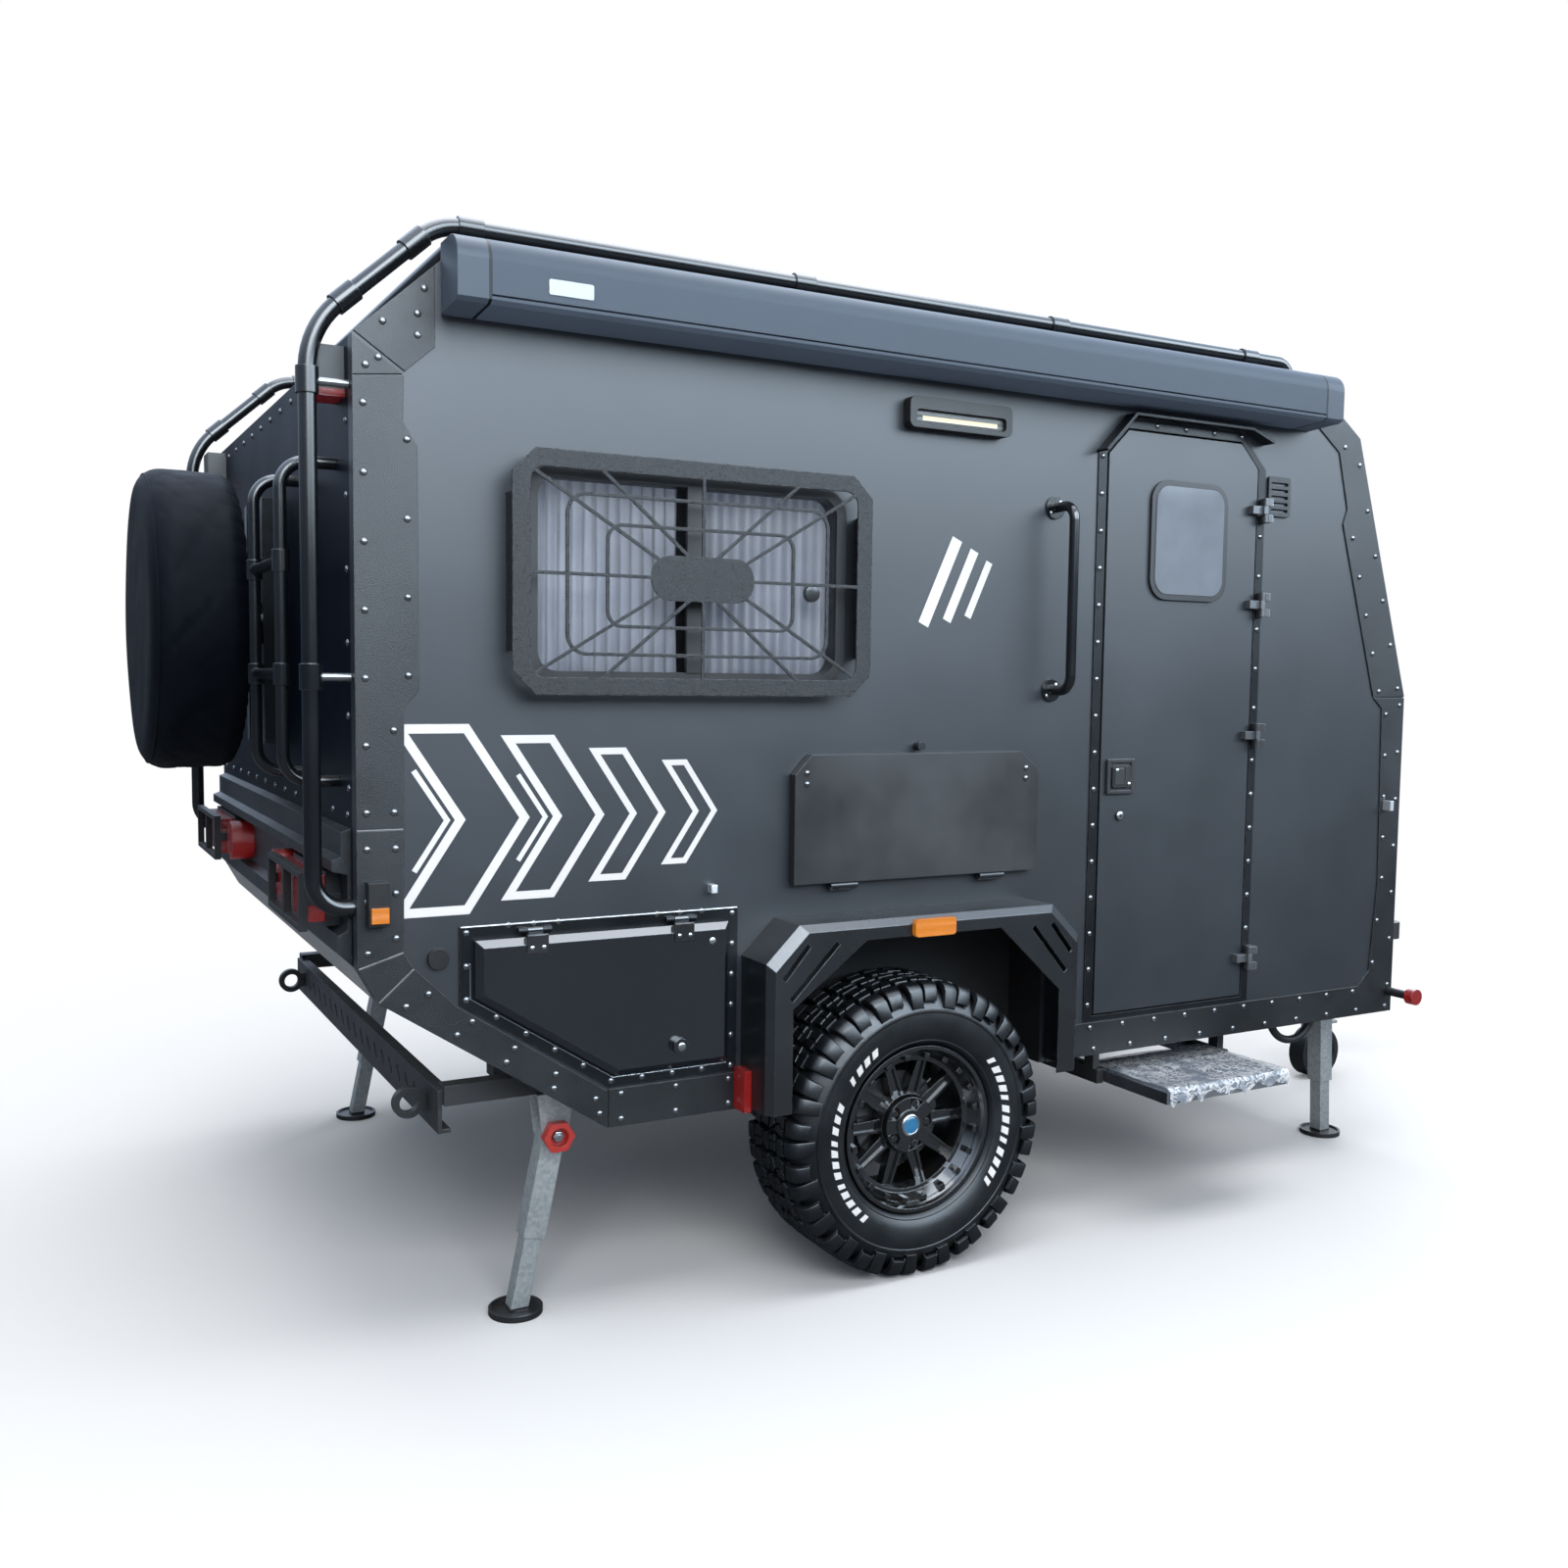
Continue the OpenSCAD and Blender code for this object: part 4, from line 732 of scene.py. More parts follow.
class Palette:
    """Builds the finishes and paints the carried-over nodes."""

    def __init__(self) -> None:
        """Build every finish once."""
        self.materials = {key: finish.build() for key, finish in FINISHES.items()}

    def __getitem__(self, key: str) -> Material:
        """Return the material of a finish."""
        return self.materials[key]

    def paint_nodes(self) -> None:
        """Give each node of the frame its finish."""
        for key, names in NODE_FINISH.items():
            for name in names.split():
                node = frame["nodes"][name]
                node.data.materials.clear()
                node.data.materials.append(self[key])
        log.info("painted %d nodes", len(frame["nodes"]))


# Mesh helpers

def new_object(name: str, data: bpy.types.ID) -> Object:
    """Put a new object with its data into the scene.

    Args:
        name: The object's name.
        data: Its mesh, light or camera.

    Returns:
        The object.
    """
    obj = bpy.data.objects.new(name, data)
    bpy.context.scene.collection.objects.link(obj)
    return obj


def new_piece(name: str, verts: Iterable[Point], faces: Iterable[Sequence[int]], material: Material,
              smooth: bool = True) -> Object:
    """Make a mesh object at the origin with its normals pointing outwards.

    Args:
        name: The piece's name.
        verts: Points in metres.
        faces: Point numbers of each face.
        material: The finish.
        smooth: Whether faces are shaded smooth by angle.

    Returns:
        The object.
    """
    mesh = bpy.data.meshes.new(name)
    mesh.from_pydata([tuple(v) for v in verts], [], [tuple(f) for f in faces])
    bm = bmesh.new()
    bm.from_mesh(mesh)
    bmesh.ops.remove_doubles(bm, verts=bm.verts, dist=1e-6)
    bmesh.ops.recalc_face_normals(bm, faces=bm.faces)
    bm.to_mesh(mesh)
    bm.free()
    mesh.materials.append(material)
    obj = new_object(name, mesh)
    if smooth:
        shade_by_angle(obj)
    return obj


def shade_by_angle(obj: Object, degrees: float = 35.0) -> None:
    """Shade a mesh smooth, with sharp edges where faces meet at more than the angle."""
    for face in obj.data.polygons:
        face.use_smooth = True
    bm = bmesh.new()
    bm.from_mesh(obj.data)
    for edge in bm.edges:
        edge.smooth = len(edge.link_faces) == 2 and edge.calc_face_angle(0.0) < math.radians(degrees)
    bm.to_mesh(obj.data)
    bm.free()


def bake(obj: Object) -> None:
    """Turn what the modifiers make into the object's plain mesh."""
    graph = bpy.context.evaluated_depsgraph_get()
    made = bpy.data.meshes.new_from_object(obj.evaluated_get(graph))
    obj.modifiers.clear()
    old, obj.data = obj.data, made
    bpy.data.meshes.remove(old)


def thicken(obj: Object, thickness: float, offset: float = 0.0) -> Object:
    """Give a sheet its thickness and keep the plain mesh.

    Args:
        obj: The sheet.
        thickness: Its thickness in metres.
        offset: Which way it grows, from -1 for inwards to 1 for outwards.

    Returns:
        The sheet.
    """
    mod = obj.modifiers.new("thickness", "SOLIDIFY")
    mod.thickness, mod.offset = thickness, offset
    bake(obj)
    return obj


def install(obj: Object, body: str, slot: Slot, *nodes: str) -> Object:
    """Let a piece ride on a body and hide the nodes it stands for.

    Args:
        obj: The finished piece.
        body: The body it moves with.
        slot: The record's material slot; not used.
        nodes: Nodes that it replaces.

    Returns:
        The piece.
    """
    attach(obj, body)
    if nodes:
        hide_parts(*nodes)
    log.info("%s on %s, %d faces", obj.name, body, len(obj.data.polygons))
    return obj


def join_parts(parts: Sequence[tuple[np.ndarray, list]]) -> tuple[np.ndarray, list]:
    """Join point and face lists into one."""
    verts, faces, n = [], [], 0
    for v, f in parts:
        verts.append(np.asarray(v, float))
        faces += [[i + n for i in face] for face in f]
        n += len(v)
    return np.vstack(verts), faces


def grid_faces(rows: int, cols: int, round_rows: bool = False, round_cols: bool = False) -> list[list[int]]:
    """Faces between the points of a grid, counted row by row.

    Args:
        rows: Number of rows.
        cols: Points in a row.
        round_rows: Whether the last row joins the first.
        round_cols: Whether a row's last point joins its first.

    Returns:
        Point numbers of each face.
    """
    return [[i * cols + j, i * cols + (j + 1) % cols, (i + 1) % rows * cols + (j + 1) % cols, (i + 1) % rows * cols + j]
            for i in range(rows if round_rows else rows - 1) for j in range(cols if round_cols else cols - 1)]


def lay_cloth(obj: Object, project: Callable[[Vector], tuple[float, float]]) -> None:
    """Shade a sheet smooth and give it a UV map in metres.

    Args:
        obj: The sheet.
        project: Where a point lies on the map.
    """
    for face in obj.data.polygons:
        face.use_smooth = True
    uv = obj.data.uv_layers.new(name="cloth")
    for loop in obj.data.loops:
        uv.data[loop.index].uv = project(obj.data.vertices[loop.vertex_index].co)


def lathe(profile: Sequence[tuple[float, float]], turns: int, closed: bool = False) -> tuple[np.ndarray, list]:
    """Turn a profile of (radius, along) points round the Y axis.

    Args:
        profile: Points of the section.
        turns: Steps round the axis.
        closed: Whether the section's last point joins its first.

    Returns:
        Points and faces.
    """
    rr, yy = np.array(profile, float).T
    a = np.arange(turns) * 2 * math.pi / turns
    pts = np.stack([np.outer(np.sin(a), rr), np.tile(yy, (turns, 1)), np.outer(np.cos(a), rr)], -1).reshape(-1, 3)
    return pts, grid_faces(turns, len(profile), True, closed)


class GeometryTree:
    """A geometry node tree with named inputs, run once on a piece and baked."""

    def __init__(self, name: str, inputs: dict[str, tuple[str, object]]) -> None:
        """Make the tree and its sockets.

        Args:
            name: The tree's name.
            inputs: Socket kind and default of each named input.
        """
        self.tree = bpy.data.node_groups.new(name, "GeometryNodeTree")
        self.ids: dict[str, str] = {}
        face = self.tree.interface
        face.new_socket(name="Geometry", in_out="INPUT", socket_type="NodeSocketGeometry")
        for key, (kind, value) in {**inputs, "Finish": ("NodeSocketMaterial", None)}.items():
            socket = face.new_socket(name=key, in_out="INPUT", socket_type=kind)
            if value is not None:
                socket.default_value = value
            self.ids[key] = socket.identifier
        face.new_socket(name="Geometry", in_out="OUTPUT", socket_type="NodeSocketGeometry")
        self.source = add(self.tree, "NodeGroupInput")
        self.sink = add(self.tree, "NodeGroupOutput")

    def link(self, a: Socket, b: Socket) -> None:
        """Link two sockets."""
        self.tree.links.new(a, b)

    def end(self, instances: Socket) -> None:
        """Close the tree: realize, set the finish, put out."""
        real = add(self.tree, "GeometryNodeRealizeInstances")
        paint = add(self.tree, "GeometryNodeSetMaterial")
        self.link(instances, real.inputs[0])
        self.link(real.outputs[0], paint.inputs["Geometry"])
        self.link(self.source.outputs["Finish"], paint.inputs["Material"])
        self.link(paint.outputs[0], self.sink.inputs[0])

    def run(self, obj: Object, values: dict[str, object]) -> None:
        """Run the tree on a piece and keep the plain mesh.

        Args:
            obj: The piece.
            values: Input values by name.
        """
        mod = obj.modifiers.new(self.tree.name, "NODES")
        mod.node_group = self.tree
        for key, value in values.items():
            mod[self.ids[key]] = value
        bake(obj)


# Rivets

@dataclass
class Rivets:
    """Domed rivet heads on points that carry the direction they face."""
    palette: Palette
    radius: float = 0.0085
    rows: dict[str, list[tuple[Point, Point]]] = field(default_factory=dict)

    def __post_init__(self) -> None:
        """Build the rivet tree."""
        g = GeometryTree("rivet_heads", {"Radius": ("NodeSocketFloat", self.radius)})
        t = g.tree
        dome = add(t, "GeometryNodeMeshUVSphere", {"Segments": 12, "Rings": 6})
        g.link(g.source.outputs["Radius"], dome.inputs["Radius"])
        flat = add(t, "GeometryNodeTransform", {"Scale": (1.0, 1.0, 0.55)})
        g.link(dome.outputs[0], flat.inputs["Geometry"])
        smooth = add(t, "GeometryNodeSetShadeSmooth")
        g.link(flat.outputs[0], smooth.inputs["Geometry"])
        way = add(t, "GeometryNodeInputNamedAttribute", {"Name": "facing"}, data_type="FLOAT_VECTOR")
        turn = add(t, "FunctionNodeAlignRotationToVector", axis="Z")
        g.link(way.outputs[0], turn.inputs["Vector"])
        put = add(t, "GeometryNodeInstanceOnPoints")
        g.link(g.source.outputs["Geometry"], put.inputs["Points"])
        g.link(smooth.outputs[0], put.inputs["Instance"])
        g.link(turn.outputs[0], put.inputs["Rotation"])
        g.end(put.outputs[0])
        self.tree = g

    def row(self, body: str, path: Sequence[Point], pitch: float, facing: Point, mirror: bool = False) -> None:
        """Space rivets evenly along a path.

        Args:
            body: The body that carries them.
            path: Corner points of the path.
            pitch: Wanted distance between rivets.
            facing: Direction the heads face.
            mirror: Whether the other side of the trailer gets them too.
        """
        spots = []
        for a, b in zip(path[:-1], path[1:]):
            a, b = Vector(a), Vector(b)
            n = max(1, round((b - a).length / pitch))
            spots += [a.lerp(b, i / n) for i in range(n)]
        spots.append(Vector(path[-1]))
        for p in spots:
            self.rows.setdefault(body, []).append((tuple(p), facing))
            if mirror:
                self.rows[body].append(((p.x, -p.y, p.z), (facing[0], -facing[1], facing[2])))

    def build(self) -> None:
        """Make one mesh of rivets for each body."""
        for body, spots in self.rows.items():
            mesh = bpy.data.meshes.new(f"{body}_rivets")
            mesh.from_pydata([p for p, _ in spots], [], [])
            mesh.attributes.new("facing", "FLOAT_VECTOR", "POINT").data.foreach_set(
                "vector", [c for _, f in spots for c in f])
            obj = new_object(f"{body}_rivets", mesh)
            self.tree.run(obj, {"Radius": self.radius, "Finish": self.palette["rivet"]})
            install(obj, body, Slot.BLACK)


@dataclass
class RivetPlan:
    """Where the plates and frames are riveted, in metres on the right side; most rows are mirrored to the left."""
    plate_y: float = -1.0142
    table_y: float = -1.0382
    wall_x: float = -1.4
    front_x: float = 1.99

    def place(self, rivets: Rivets) -> None:
        """Put every row.

        Args:
            rivets: The rivet maker.
        """
        y = self.plate_y
        side = (0.0, -1.0, 0.0)
        rows = [
            ([(-1.378, 2.13), (-1.378, 1.25)], 0.146), ([(-1.285, 2.06), (-1.285, 1.55)], 0.146),
            ([(-1.318, 1.43), (-1.318, 1.25)], 0.16), ([(-1.378, 1.17), (-1.378, 0.94)], 0.115),
            ([(-1.316, 1.17), (-1.316, 0.97)], 0.1), ([(-1.345, 2.228), (-1.372, 2.21)], 0.05),
            ([(-1.335, 2.305), (-1.245, 2.385)], 0.12), ([(-1.26, 2.285), (-1.26, 2.33)], 0.05),
            ([(-1.245, 0.838), (-0.845, 0.545)], 0.124), ([(-1.295, 0.814), (-0.835, 0.508)], 0.138),
            ([(-0.78, 0.55), (-0.49, 0.55)], 0.145), ([(-0.78, 0.488), (-0.49, 0.488)], 0.145),
            ([(0.56, 0.552), (1.80, 0.552)], 0.124), ([(0.56, 0.488), (1.96, 0.488)], 0.14),
            ([(1.89, 0.64), (1.918, 0.92), (1.904, 1.46)], 0.135), ([(1.968, 0.56), (1.968, 1.49)], 0.155),
            ([(1.865, 1.535), (1.712, 2.02)], 0.128), ([(1.955, 1.545), (1.73, 2.25)], 0.148),
            ([(1.66, 2.30), (1.56, 2.37)], 0.12),
        ]
        for path, pitch in rows:
            rivets.row("trailer", [(x, y, z) for x, z in path], pitch, side, mirror=True)
        # Door frame strip, on the right side only
        for path in ([(0.672, 0.62), (0.672, 2.19)], [(1.30, 0.80), (1.30, 1.32)], [(1.30, 1.48), (1.30, 1.72)],
                     [(1.30, 1.88), (1.30, 2.0)], [(0.76, 2.291), (1.21, 2.291)]):
            rivets.row("trailer", [(x, y, z) for x, z in path], 0.105, side)
        # Locker frames
        frame_path = [(-1.159, 0.97), (-1.159, 0.816), (-0.806, 0.585), (-0.485, 0.585), (-0.485, 0.97)]
        rivets.row("trailer", [(x, y, z) for x, z in frame_path], 0.082, side, mirror=True)
        for x in (-1.0, -0.629):
            rivets.row("trailer", [(x - 0.06, y, 0.981), (x + 0.06, y, 0.981)], 0.06, side, mirror=True)
        # Screws in the table's upper corners
        for x in (-0.288, 0.408):
            rivets.row("table", [(x, self.table_y, 1.316), (x, self.table_y, 1.288)], 0.028, side)
        # Rear face, along its edges
        back = (-1.0, 0.0, 0.0)
        for path in ([(-0.93, 2.24), (0.93, 2.24)], [(-0.93, 1.24), (0.93, 1.24)]):
            rivets.row("trailer", [(self.wall_x, yy, z) for yy, z in path], 0.155, back)
        rivets.row("trailer", [(self.wall_x, -0.945, 2.10), (self.wall_x, -0.945, 1.30)], 0.16, back, mirror=True)
        # Front face
        ahead = (1.0, 0.0, 0.0)
        for path in ([(-0.93, 1.47), (0.93, 1.47)], [(-0.93, 0.62), (0.93, 0.62)]):
            rivets.row("trailer", [(self.front_x, yy, z) for yy, z in path], 0.155, ahead)


# Wheels

@dataclass
class Tyre:
    """All-terrain tyre: a turned carcass with lugs repeated round it."""
    side: str
    palette: Palette
    radius: float = 0.388
    axle_z: float = 0.388
    middle: float = 1.035
    base: float = 0.370
    pitches: int = 21

    BLOCKS = (
        ((0.002, 0.005), (0.022, 0.003), (0.030, 0.018), (0.027, 0.036), (0.006, 0.038)),
        ((0.0245, 0.003), (0.046, 0.005), (0.044, 0.020), (0.050, 0.034), (0.0295, 0.036), (0.0325, 0.018)),
        ((0.056, 0.004), (0.106, 0.006), (0.100, 0.022), (0.074, 0.029), (0.064, 0.018)),
        ((0.058, 0.037), (0.076, 0.035), (0.079, 0.055), (0.070, 0.072), (0.052, 0.069)),
        ((0.0785, 0.0345), (0.104, 0.030), (0.113, 0.050), (0.102, 0.074), (0.0725, 0.0725), (0.0815, 0.055)),
        ((-0.004, 0.047), (0.038, 0.043), (0.046, 0.060), (0.037, 0.075), (0.0, 0.073)))
    BAR_GROUPS = ((51.0, 13), (219.0, 12), (304.0, 4))
    BAR_STEP, BAR_LEAN, BAR_WIDE, BAR_NARROW = (math.radians(v) for v in (6.25, 1.6, 4.0, 2.8))
    BAR_RADII = (0.2575, 0.2780)
    BAR_ROOT, BAR_LOW_FACE, BAR_HIGH_FACE = 0.124, 0.1292, 0.1332

    @property
    def out(self) -> float:
        """Sign of the outer face along Y."""
        return SIDES[self.side]

    def carcass(self) -> tuple[np.ndarray, list]:
        """Turn the closed section of the casing."""
        half = [(0.2025, 0.060), (0.2025, 0.088), (0.2075, 0.0925), (0.2215, 0.0935), (0.2225, 0.1005), (0.226, 0.109),
                (0.233, 0.1175), (0.2355, 0.1195), (0.238, 0.1190), (0.240, 0.1200), (0.248, 0.1245), (0.262, 0.1290),
                (0.280, 0.1313), (0.298, 0.1316), (0.310, 0.1302), (0.3115, 0.1318), (0.317, 0.1318), (0.3185, 0.1290),
                (0.330, 0.1238), (0.342, 0.1168), (0.353, 0.1085), (0.361, 0.100), (0.367, 0.090), (self.base, 0.075),
                (self.base, 0.0)]
        profile = half + [(r, -y) for r, y in half[-2::-1]]
        return lathe(profile, 132, closed=True)

    def block(self, outline: Sequence[tuple[float, float]], low: float, high: float) -> tuple[np.ndarray, list]:
        """One tread block with chamfered edges, bent round the tyre.

        Args:
            outline: Corner points as (arc along the tread, across), in metres.
            low: Radius of its root.
            high: Radius of its top.

        Returns:
            Points and faces.
        """
        flat = np.array(outline, float)
        mid = flat.mean(axis=0)
        rings = [(flat, low), (flat + 0.04 * (mid - flat), high - 0.002), (flat + 0.12 * (mid - flat), high)]
        pts = [(r * math.sin(s / self.radius), y, r * math.cos(s / self.radius)) for ring, r in rings for s, y in ring]
        n = len(flat)
        return np.array(pts), grid_faces(len(rings), n, round_cols=True) + [list(range(2 * n, 3 * n))]

    def shoulder(self, s0: float, s1: float, skew: float, sign: float, deep: float) -> tuple[np.ndarray, list]:
        """Shoulder lug that runs over the edge and down the side wall.

        Args:
            s0: Start along the tread.
            s1: End along the tread.
            skew: How far the lug's foot runs on along the tread.
            sign: Half of the tread it sits on.
            deep: Radius that it reaches down to.

        Returns:
            Points and faces.
        """
        y0 = 0.080
        rows = [(self.base - 0.006, y0), (self.radius - 0.002, y0 + 0.002), (self.radius, y0 + 0.006),
                (self.radius - 0.0015, 0.106), (self.radius - 0.007, 0.1185), (self.radius - 0.019, 0.1270),
                (deep + 0.004, 0.1322), (deep, 0.1322), (deep - 0.003, 0.1245)]
        cols = [(0.0, 0.010), (0.003, 0.0012), (0.007, 0.0), (-0.007, 0.0), (-0.003, 0.0012), (0.0, 0.010)]
        pts = []
        for k, (r, y) in enumerate(rows):
            shift = skew * (k / (len(rows) - 1)) ** 1.5
            for j, (ds, drop) in enumerate(cols):
                a = ((s0 if j < 3 else s1) + ds + shift) / self.radius
                fall = drop if 0 < k < len(rows) - 1 else 0.0
                pts.append(((r - fall) * math.sin(a), sign * (y - fall), (r - fall) * math.cos(a)))
        return np.array(pts), grid_faces(len(rows), len(cols))

    def pitch(self) -> tuple[np.ndarray, list]:
        """The blocks of one tread pitch."""
        p = 2 * math.pi * self.radius / self.pitches
        root = self.base - 0.004
        parts = []
        for sign, lag in ((1.0, 0.0), (-1.0, p / 2)):
            for shape in self.BLOCKS:
                parts.append(self.block([(s + lag, sign * y) for s, y in shape], root, self.radius))
            parts.append(self.shoulder(lag + 0.002, lag + 0.047, 0.012, sign, 0.326))
            parts.append(self.shoulder(lag + 0.059, lag + 0.105, -0.008, sign, 0.342))
        return join_parts(parts)

    def white_bars(self) -> tuple[np.ndarray, list]:
        """Short raised white bars on the outer side wall, in three plain groups."""
        parts = []
        inner, outer = self.BAR_RADII
        for start, count in self.BAR_GROUPS:
            for i in range(count):
                a0 = math.radians(start) + i * self.BAR_STEP
                a1 = a0 + (self.BAR_WIDE if i % 4 else self.BAR_NARROW)
                ring = [(inner, a0), (inner, a1), (outer, a1 + self.BAR_LEAN), (outer, a0 + self.BAR_LEAN)]
                faces = (self.BAR_LOW_FACE, self.BAR_LOW_FACE, self.BAR_HIGH_FACE, self.BAR_HIGH_FACE)
                pts = [(r * math.sin(a), self.out * y, r * math.cos(a))
                       for level in ((self.BAR_ROOT,) * 4, faces) for (r, a), y in zip(ring, level)]
                parts.append((np.array(pts), [[0, 1, 2, 3], [4, 5, 6, 7], *([k, (k + 1) % 4, (k + 1) % 4 + 4, k + 4]
                                                                            for k in range(4))]))
        return join_parts(parts)

    def build(self) -> None:
        """Make the tyre and its white bars."""
        g = GeometryTree(f"tread_{self.side}", {"Count": ("NodeSocketInt", self.pitches)})
        t = g.tree
        points = add(t, "GeometryNodePoints")
        g.link(g.source.outputs["Count"], points.inputs["Count"])
        step = math_node(t, "DIVIDE", 2 * math.pi, g.source.outputs["Count"])
        angle = math_node(t, "MULTIPLY", add(t, "GeometryNodeInputIndex").outputs[0], step)
        turn = add(t, "FunctionNodeAxisAngleToRotation", {"Axis": (0.0, 1.0, 0.0)})
        g.link(angle, turn.inputs["Angle"])
        put = add(t, "GeometryNodeInstanceOnPoints")
        g.link(points.outputs[0], put.inputs["Points"])
        g.link(g.source.outputs["Geometry"], put.inputs["Instance"])
        g.link(turn.outputs[0], put.inputs["Rotation"])
        g.end(put.outputs[0])
        name = f"wheel_{self.side}"
        tread = new_piece(f"{name}_tread", *self.pitch(), self.palette["rubber"])
        g.run(tread, {"Count": self.pitches, "Finish": self.palette["rubber"]})
        casing = new_piece(f"{name}_casing", *self.carcass(), self.palette["rubber"])
        bars = new_piece(f"{name}_side_bars", *self.white_bars(), self.palette["white"], smooth=False)
        for obj in (tread, casing, bars):
            obj.data.transform(Matrix.Translation((0.0, self.out * self.middle, self.axle_z)))
        shade_by_angle(tread, 30.0)
        install(casing, name, Slot.TYRE, f"{name}_tyre")
        install(tread, name, Slot.TYRE)
        install(bars, name, Slot.TYRE)


@dataclass
class HubCap:
    """Plain blue cap with a bright ring in the middle of a wheel."""
    side: str
    palette: Palette
    face_y: float = 1.1085
    axle_z: float = 0.388

    PARTS = (
        ("cap", "blue", ((0.0, 0.0062), (0.010, 0.0058), (0.0185, 0.0042), (0.0225, 0.002), (0.023, -0.001))),
        ("cap_ring", "steel", ((0.0222, 0.001), (0.0228, 0.0036), (0.0255, 0.0036), (0.0285, 0.001), (0.029, -0.001))))

    def build(self) -> None:
        """Turn the cap and its ring."""
        out, body = SIDES[self.side], f"wheel_{self.side}"
        for name, finish, profile in self.PARTS:
            part = Trim(f"{body}_{name}", body, Slot.RIM, self.palette[finish])
            part.turned((0.0, out * self.face_y, self.axle_z), (0.0, out, 0.0), profile, 48)
            part.build()


# Soft goods

@dataclass
class SpareCover:
    """Fitted fabric cover on the spare wheel, with a piped seam and slack folds."""
    palette: Palette
    centre: Point = (-1.5, 0.06, 1.69)
    radius: float = 0.402
    depth: float = 0.24
    turns: int = 220
    cloth: float = 0.0012

    def section(self) -> np.ndarray:
        """Profile of (radius, distance behind the back face), from the back lip to the front's middle."""
        r, d = self.radius, self.depth
        pts = [(r - 0.105, 0.004), (r - 0.07, 0.0), (r - 0.035, 0.004), (r - 0.012, 0.016), (r - 0.002, 0.036)]
        pts += [(r, 0.036 + (d - 0.10) * i / 14) for i in range(1, 15)]
        pts += [(r - 0.06 + 0.06 * math.cos(a), d - 0.064 + 0.064 * math.sin(a)) for a in np.linspace(0.12, 1.5, 14)]
        pts += [(x, d + 0.002) for x in np.linspace(r - 0.075, 0.0, 26)]
        return np.array(pts)

    def build(self) -> None:
        """Shape the cover and its seam."""
        prof = self.section()
        n, m = len(prof), self.turns
        rr, dd = prof[:, 0][None, :], prof[:, 1][None, :]
        aa = (np.arange(m) * 2 * math.pi / m)[:, None]
        run = np.concatenate([[0.0], np.cumsum(np.linalg.norm(np.diff(prof, axis=0), axis=1))])[None, :]
        back = np.exp(-((run - 0.06) / 0.07) ** 2)
        side = np.exp(-((run - 0.22) / 0.09) ** 2)
        front = 1.0 / (1.0 + np.exp(-(run - 0.40) / 0.03)) * np.clip(rr / 0.3, 0, 1)
        gather = 0.0045 * back * np.sin(46 * aa + 1.7 * np.sin(3 * aa))

        def crease(phase: np.ndarray) -> np.ndarray:
            """Narrow ridges where the phase crosses a multiple of pi."""
            return (1 - np.abs(np.sin(phase))) ** 3

        fold = 0.0052 * side * (crease(8 * aa + 26 * run + 0.8 * np.sin(3 * aa))
                                + 0.7 * crease(11 * aa - 38 * run + 1.3)
                                + 0.4 * np.sin(9 * aa + 22 * run + np.sin(4 * aa)))
        slack = 0.0030 * side * np.clip(-np.cos(aa), 0, 1) * (1 + np.sin(13 * aa + 30 * run))
        puff = 0.004 * front * (np.sin(3 * aa + 9 * rr) * np.sin(14 * rr + 2 * aa) - 0.4)
        radial = rr - np.abs(gather) - np.abs(fold) * 0.7 - slack
        deep = dd + puff + 0.5 * gather
        x = self.centre[0] - np.broadcast_to(deep, (m, n))
        y = self.centre[1] + radial * np.sin(aa)
        z = self.centre[2] + radial * np.cos(aa)
        pts = np.stack([x, y, z], -1).reshape(-1, 3)
        cover = new_piece("spare_wheel_hood", pts, grid_faces(m, n, True), self.palette["cover"], smooth=False)
        lay_cloth(cover, lambda v: (v.y + 0.5 * v.x, v.z + 0.5 * v.x))
        thicken(cover, self.cloth, -1.0)
        install(cover, "trailer", Slot.COVER, "spare_wheel_cover")
        install(self.piping(), "trailer", Slot.COVER)

    def piping(self) -> Object:
        """Round piping along the seam between the front and the band.

        Returns:
            The piping.
        """
        r0 = self.radius - 0.018
        prof = [(r0 + 0.0035 * math.cos(t), self.depth - 0.020 + 0.0035 * math.sin(t))
                for t in np.linspace(0, 2 * math.pi, 9)[:-1]]
        pts, faces = lathe(prof, 160, closed=True)
        pts = np.stack([self.centre[0] - pts[:, 1], self.centre[1] + pts[:, 0], self.centre[2] + pts[:, 2]], -1)
        obj = new_piece("spare_hood_piping", pts, faces, self.palette["cover"])
        obj.data.uv_layers.new(name="cloth")
        return obj


@dataclass
class CurtainPanel:
    """Pleated curtain that hangs behind a side window."""
    name: str
    side: str
    middle: float
    palette: Palette
    width: float = 0.39
    low: float = 1.551
    high: float = 2.034
    pleats: int = 13
    depth: float = 0.0075
    inner: float = 0.964

    def build(self) -> None:
        """Fold the sheet in soft pleats."""
        nx, nz = self.pleats * 12, 16
        uu, vv = np.meshgrid(np.linspace(0, 1, nx + 1), np.linspace(0, 1, nz + 1), indexing="ij")
        phase = 2 * math.pi * self.pleats * uu + 0.5 * np.sin(5 * uu + 3 * vv)
        wave = np.sin(phase) + 0.18 * np.sin(2 * phase + 1.0)
        y = SIDES[self.side] * self.inner + self.depth * wave * (0.72 + 0.28 * (1 - vv))
        x = self.middle + (uu - 0.5) * self.width + 0.002 * np.sin(phase * 0.5 + 4 * vv)
        z = self.low + (self.high - self.low) * vv
        pts = np.stack([x, y, z], -1)
        obj = new_piece(self.name, pts.reshape(-1, 3), grid_faces(nx + 1, nz + 1), self.palette["curtain"],
                        smooth=False)
        lay_cloth(obj, lambda v: (v.x * 1.5, v.z))
        install(obj, "trailer", Slot.CURTAIN, "curtains")


